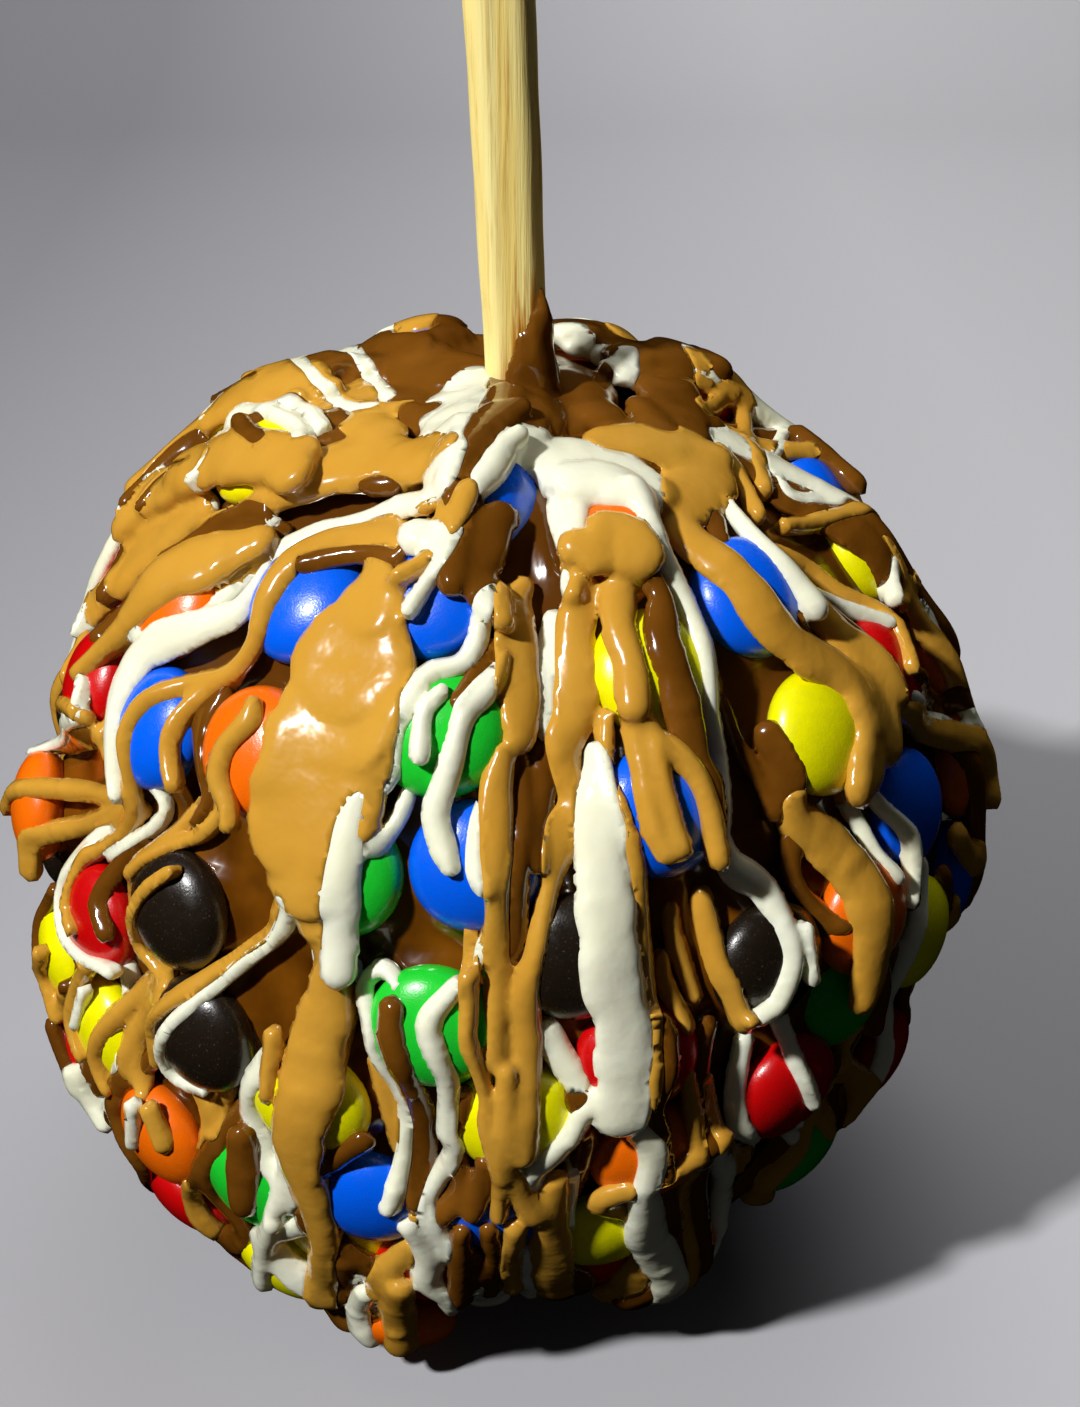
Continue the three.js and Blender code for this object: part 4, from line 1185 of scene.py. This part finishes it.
def readField(spots):
    # the joined sauce's distance at any place, from the eight grid corners round it
    p = (spots - boxLow) / voxel
    i = np.clip(p.astype(int), 0, boxCount - 2)
    f = p - i
    flat = field.ravel()
    step = np.array([boxCount[1] * boxCount[2], boxCount[2], 1])
    first = i @ step
    total = 0
    for corner in np.ndindex(2, 2, 2):
        weight = np.prod(np.where(corner, f, 1 - f), axis=1)
        total = total + weight * flat[first + corner @ step]
    return total


def pullOnto(spots, reader, level):
    # one short step towards the surface where the reader gives that level
    value = reader(spots) - level
    h = 0.4 * voxel
    slope = np.stack([
        (reader(spots + h * e) - reader(spots - h * e)) / (2 * h) for e in np.eye(3)
    ], 1)
    move = slope * (value / np.maximum((slope ** 2).sum(axis=1), 0.25))[:, None]
    length = np.linalg.norm(move, axis=1)
    return spots - move * np.minimum(1, 0.5 * voxel / np.maximum(length, 1e-6))[:, None]


def sauceMesh(name, look):
    # the part of the joined sauce that this colour owns, lowered by a hair of its own
    def owned(spots):
        az, lat = anglesOf(spots / np.linalg.norm(spots, axis=1, keepdims=True))
        return readMap(colourMaps[name], az, lat)

    near = np.argwhere(field < 1.2)
    own = np.full(boxCount, clearAway, np.float32)
    edge = owned(near * voxel + boxLow) - sauceLook["overlap"]
    own[tuple(near.T)] = np.maximum(field[tuple(near.T)] + look["under"], edge)
    verts, faces = surfaceNet(own)
    verts = verts * voxel + boxLow
    side = np.abs(owned(verts) - sauceLook["overlap"]) < 0.7 * voxel
    skin = np.abs(readField(verts) + look["under"]) < 0.7 * voxel
    for _ in range(3):
        verts[skin] = pullOnto(verts[skin], readField, -look["under"])
        verts[side] = pullOnto(verts[side], owned, sauceLook["overlap"])
    return placed(verts), faces


def thinned(piece, most):
    # merges small faces until the piece has no more than so many triangles
    count = len(piece.data.polygons) * 2
    if count > most:
        modifier = piece.modifiers.new("fewer", "DECIMATE")
        modifier.ratio = most / count
        baked(piece, modifier)


stick = dict(
    foot=48.0, length=140.0, footX=6.2, lean=2.2,
    low=3.2, high=3.4, swell=(57, 87), corner=1.12,
    worn=0.5,            # how much the top's edges are rounded off
    shown=30,            # the mesh starts this far up, inside the crown
    around=48, rows=120,
)


def stickRing(up, out=0.0, turns=stick["around"]):
    # points round the stick's section at one height, in mm
    t = (np.arange(turns) + 0.5) * 2 * math.pi / turns
    square = (np.abs(np.cos(t)) ** 4 + np.abs(np.sin(t)) ** 4) ** -0.25
    half = stick["low"] + (stick["high"] - stick["low"]) * ramp(up, *stick["swell"])
    half -= stick["worn"] * ramp(up, stick["length"] - 0.8, stick["length"] - 0.2)
    wear = 0.05 * np.sin(up * 0.21 + 2 * t) + 0.035 * np.sin(up * 0.53 + 3 * t + 1)
    r = half * np.minimum(square, stick["corner"]) + wear + out
    x = stick["footX"] - up * math.tan(math.radians(stick["lean"]))
    return np.stack([x + r * np.cos(t), r * np.sin(t), np.full(turns, stick["foot"] + up)], 1)


def filmMesh():
    # chocolate that has climbed the stick: how high it reaches at each turn about the stick
    film = dict(low=45.0, high=63.0, base=49.6, rings=60, turns=72, thick=0.9, hidden=-0.35)
    tops = np.array([(-180, 0), (-125, 0.5), (-107, 3.9), (-79, 7.8), (-55, 10.5), (-40, 11.5),
                     (0, 9), (60, 6), (120, 3), (180, 0)])
    n = film["turns"]
    turn = (np.arange(n) + 0.5) * 360 / n
    top = np.interp((turn + 180) % 360 - 180, tops[:, 0], tops[:, 1])
    top = top + 0.5 * np.sin(np.radians(turn * 7)) + 0.3 * np.sin(np.radians(turn * 16))
    rings = []
    for up in np.linspace(film["low"], film["high"], film["rings"]):
        below = top - (up - film["base"])
        ripple = 1 + 0.2 * np.sin(up + np.radians(turn * 2))
        out = film["thick"] * np.sqrt(np.clip(below / 3, 0, 1)) * ripple
        out = out + 1.6 * np.exp(-max(up - film["base"], 0) / 1.4) * ramp(top, 0, 2)
        rings.append(stickRing(up, np.where(below > 0, out, film["hidden"]), n))
    quads = ringQuads(n, film["rings"])
    foot = film["rings"] * n
    last = foot - n
    even = np.arange(0, n, 2)
    under = np.stack([np.full(n // 2, foot), (even + 2) % n, even + 1, even], 1)
    over = np.stack([np.full(n // 2, foot + 1), last + even, last + even + 1,
                     last + (even + 2) % n], 1)
    verts = np.concatenate(rings + [[rings[0].mean(axis=0)], [rings[-1].mean(axis=0)]]) * mm
    return verts, np.concatenate([quads, under, over])


for name, look in sauces.items():
    verts, faces = sauceMesh(name, look)
    if name == "brown":
        filmVerts, filmFaces = filmMesh()
        faces = np.concatenate([faces, filmFaces + len(verts)])
        verts = np.concatenate([verts, filmVerts])
    piece = meshObject("sauce_" + name, verts, [faces], sauceMaterial("sauce_" + name, look))
    thinned(piece, sauceLook["mostFaces"])
    piece.data.calc_loop_triangles()
    print("caramel apple: sauce", name, len(piece.data.loop_triangles), "triangles",
          round(time.time() - started, 1), "s")
    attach(piece, "root")
    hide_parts("drizzle_" + name)


print("caramel apple: stick")


def stickMaterial():
    # pale split wood with long streaks, stained amber and brown at the foot
    material, g, shader, place = newMaterial("stick_wood")
    long = g.add("ShaderNodeMapping", Vector=place, Scale=(1, 1, 0.035)).outputs[0]
    streak = g.noise(long, 1500, 4, 0.65)
    wide = g.noise(long, 500, 2, 0.5)
    wood = g.blend(g.steps(wide, 0.35, 0.65), linear((255, 240, 160)), linear((248, 218, 122)))
    wood = g.blend(g.steps(streak, 0.52, 0.7, 0, 0.7), wood, linear((206, 160, 66)))
    split = g.add("ShaderNodeSeparateXYZ", Vector=place).outputs
    low = g.sum("ADD", g.steps(split["Z"], 0.1125, 0.099), g.steps(streak, 0.35, 0.65, -0.5, 0.3))
    side = g.steps(split["X"], 0.0015, 0.0045)
    stain = g.sum("MULTIPLY", g.sum("MINIMUM", low, 1.0, True), side)
    wood = g.blend(g.steps(stain, 0.1, 0.6), wood, linear((196, 128, 16)))
    wood = g.blend(g.steps(stain, 0.55, 0.95), wood, linear((112, 62, 6)))
    g.fill(shader, Base_Color=wood, Roughness=0.6)
    g.bump(shader, 0.5, 0.0003, streak)
    return material


def stickMesh():
    n = stick["around"]
    ups = np.linspace(stick["shown"], stick["length"] - 0.7, stick["rows"])
    ups = np.append(ups, stick["length"] - 0.2)
    lean = math.tan(math.radians(stick["lean"]))
    verts = [stickRing(up) for up in ups]
    foot = (stick["footX"] - ups[0] * lean, 0, stick["foot"] + ups[0])
    head = (stick["footX"] - stick["length"] * lean, 0, stick["foot"] + stick["length"])
    verts = np.concatenate(verts + [[foot], [head]]) * mm
    return verts, [ringQuads(n, len(ups)), ringCaps(n, len(ups))]


stickPiece = meshObject("stick_wood", *stickMesh(), stickMaterial())
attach(stickPiece, "root")
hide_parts("stick")


def addFloor():
    mesh = bpy.data.meshes.new("floor")
    bend = [(-0.9, 0.0), (0.55, 0.0)]
    for i in range(1, 13):
        a = math.radians(90 * i / 12)
        bend.append((0.55 + 0.35 * math.sin(a), 0.35 * (1 - math.cos(a))))
    bend.append((0.9, 1.4))
    verts = [(x, y, z) for y, z in bend for x in (-1.6, 1.6)]
    faces = [(2 * i, 2 * i + 1, 2 * i + 3, 2 * i + 2) for i in range(len(bend) - 1)]
    mesh.from_pydata(verts, [], faces)
    mesh.shade_smooth()
    material, g, shader, place = newMaterial("floor")
    # painted light: the floor's colour goes from darker on the left to lighter on the right,
    # standing in for how the light falls across it
    across = g.add("ShaderNodeSeparateXYZ", Vector=place).outputs["X"]
    left = (*studio["floorShadeLeft"], 1)
    right = (*studio["floorLightRight"], 1)
    body = g.blend(g.steps(across, -0.14, 0.12), left, right)
    g.fill(shader, Base_Color=body, Roughness=0.6)
    mesh.materials.append(material)
    floor = linked("floor", mesh)
    floor.visible_glossy = False
    floor.visible_diffuse = False


addFloor()

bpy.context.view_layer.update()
print("caramel apple: done", round(time.time() - started, 1), "s")
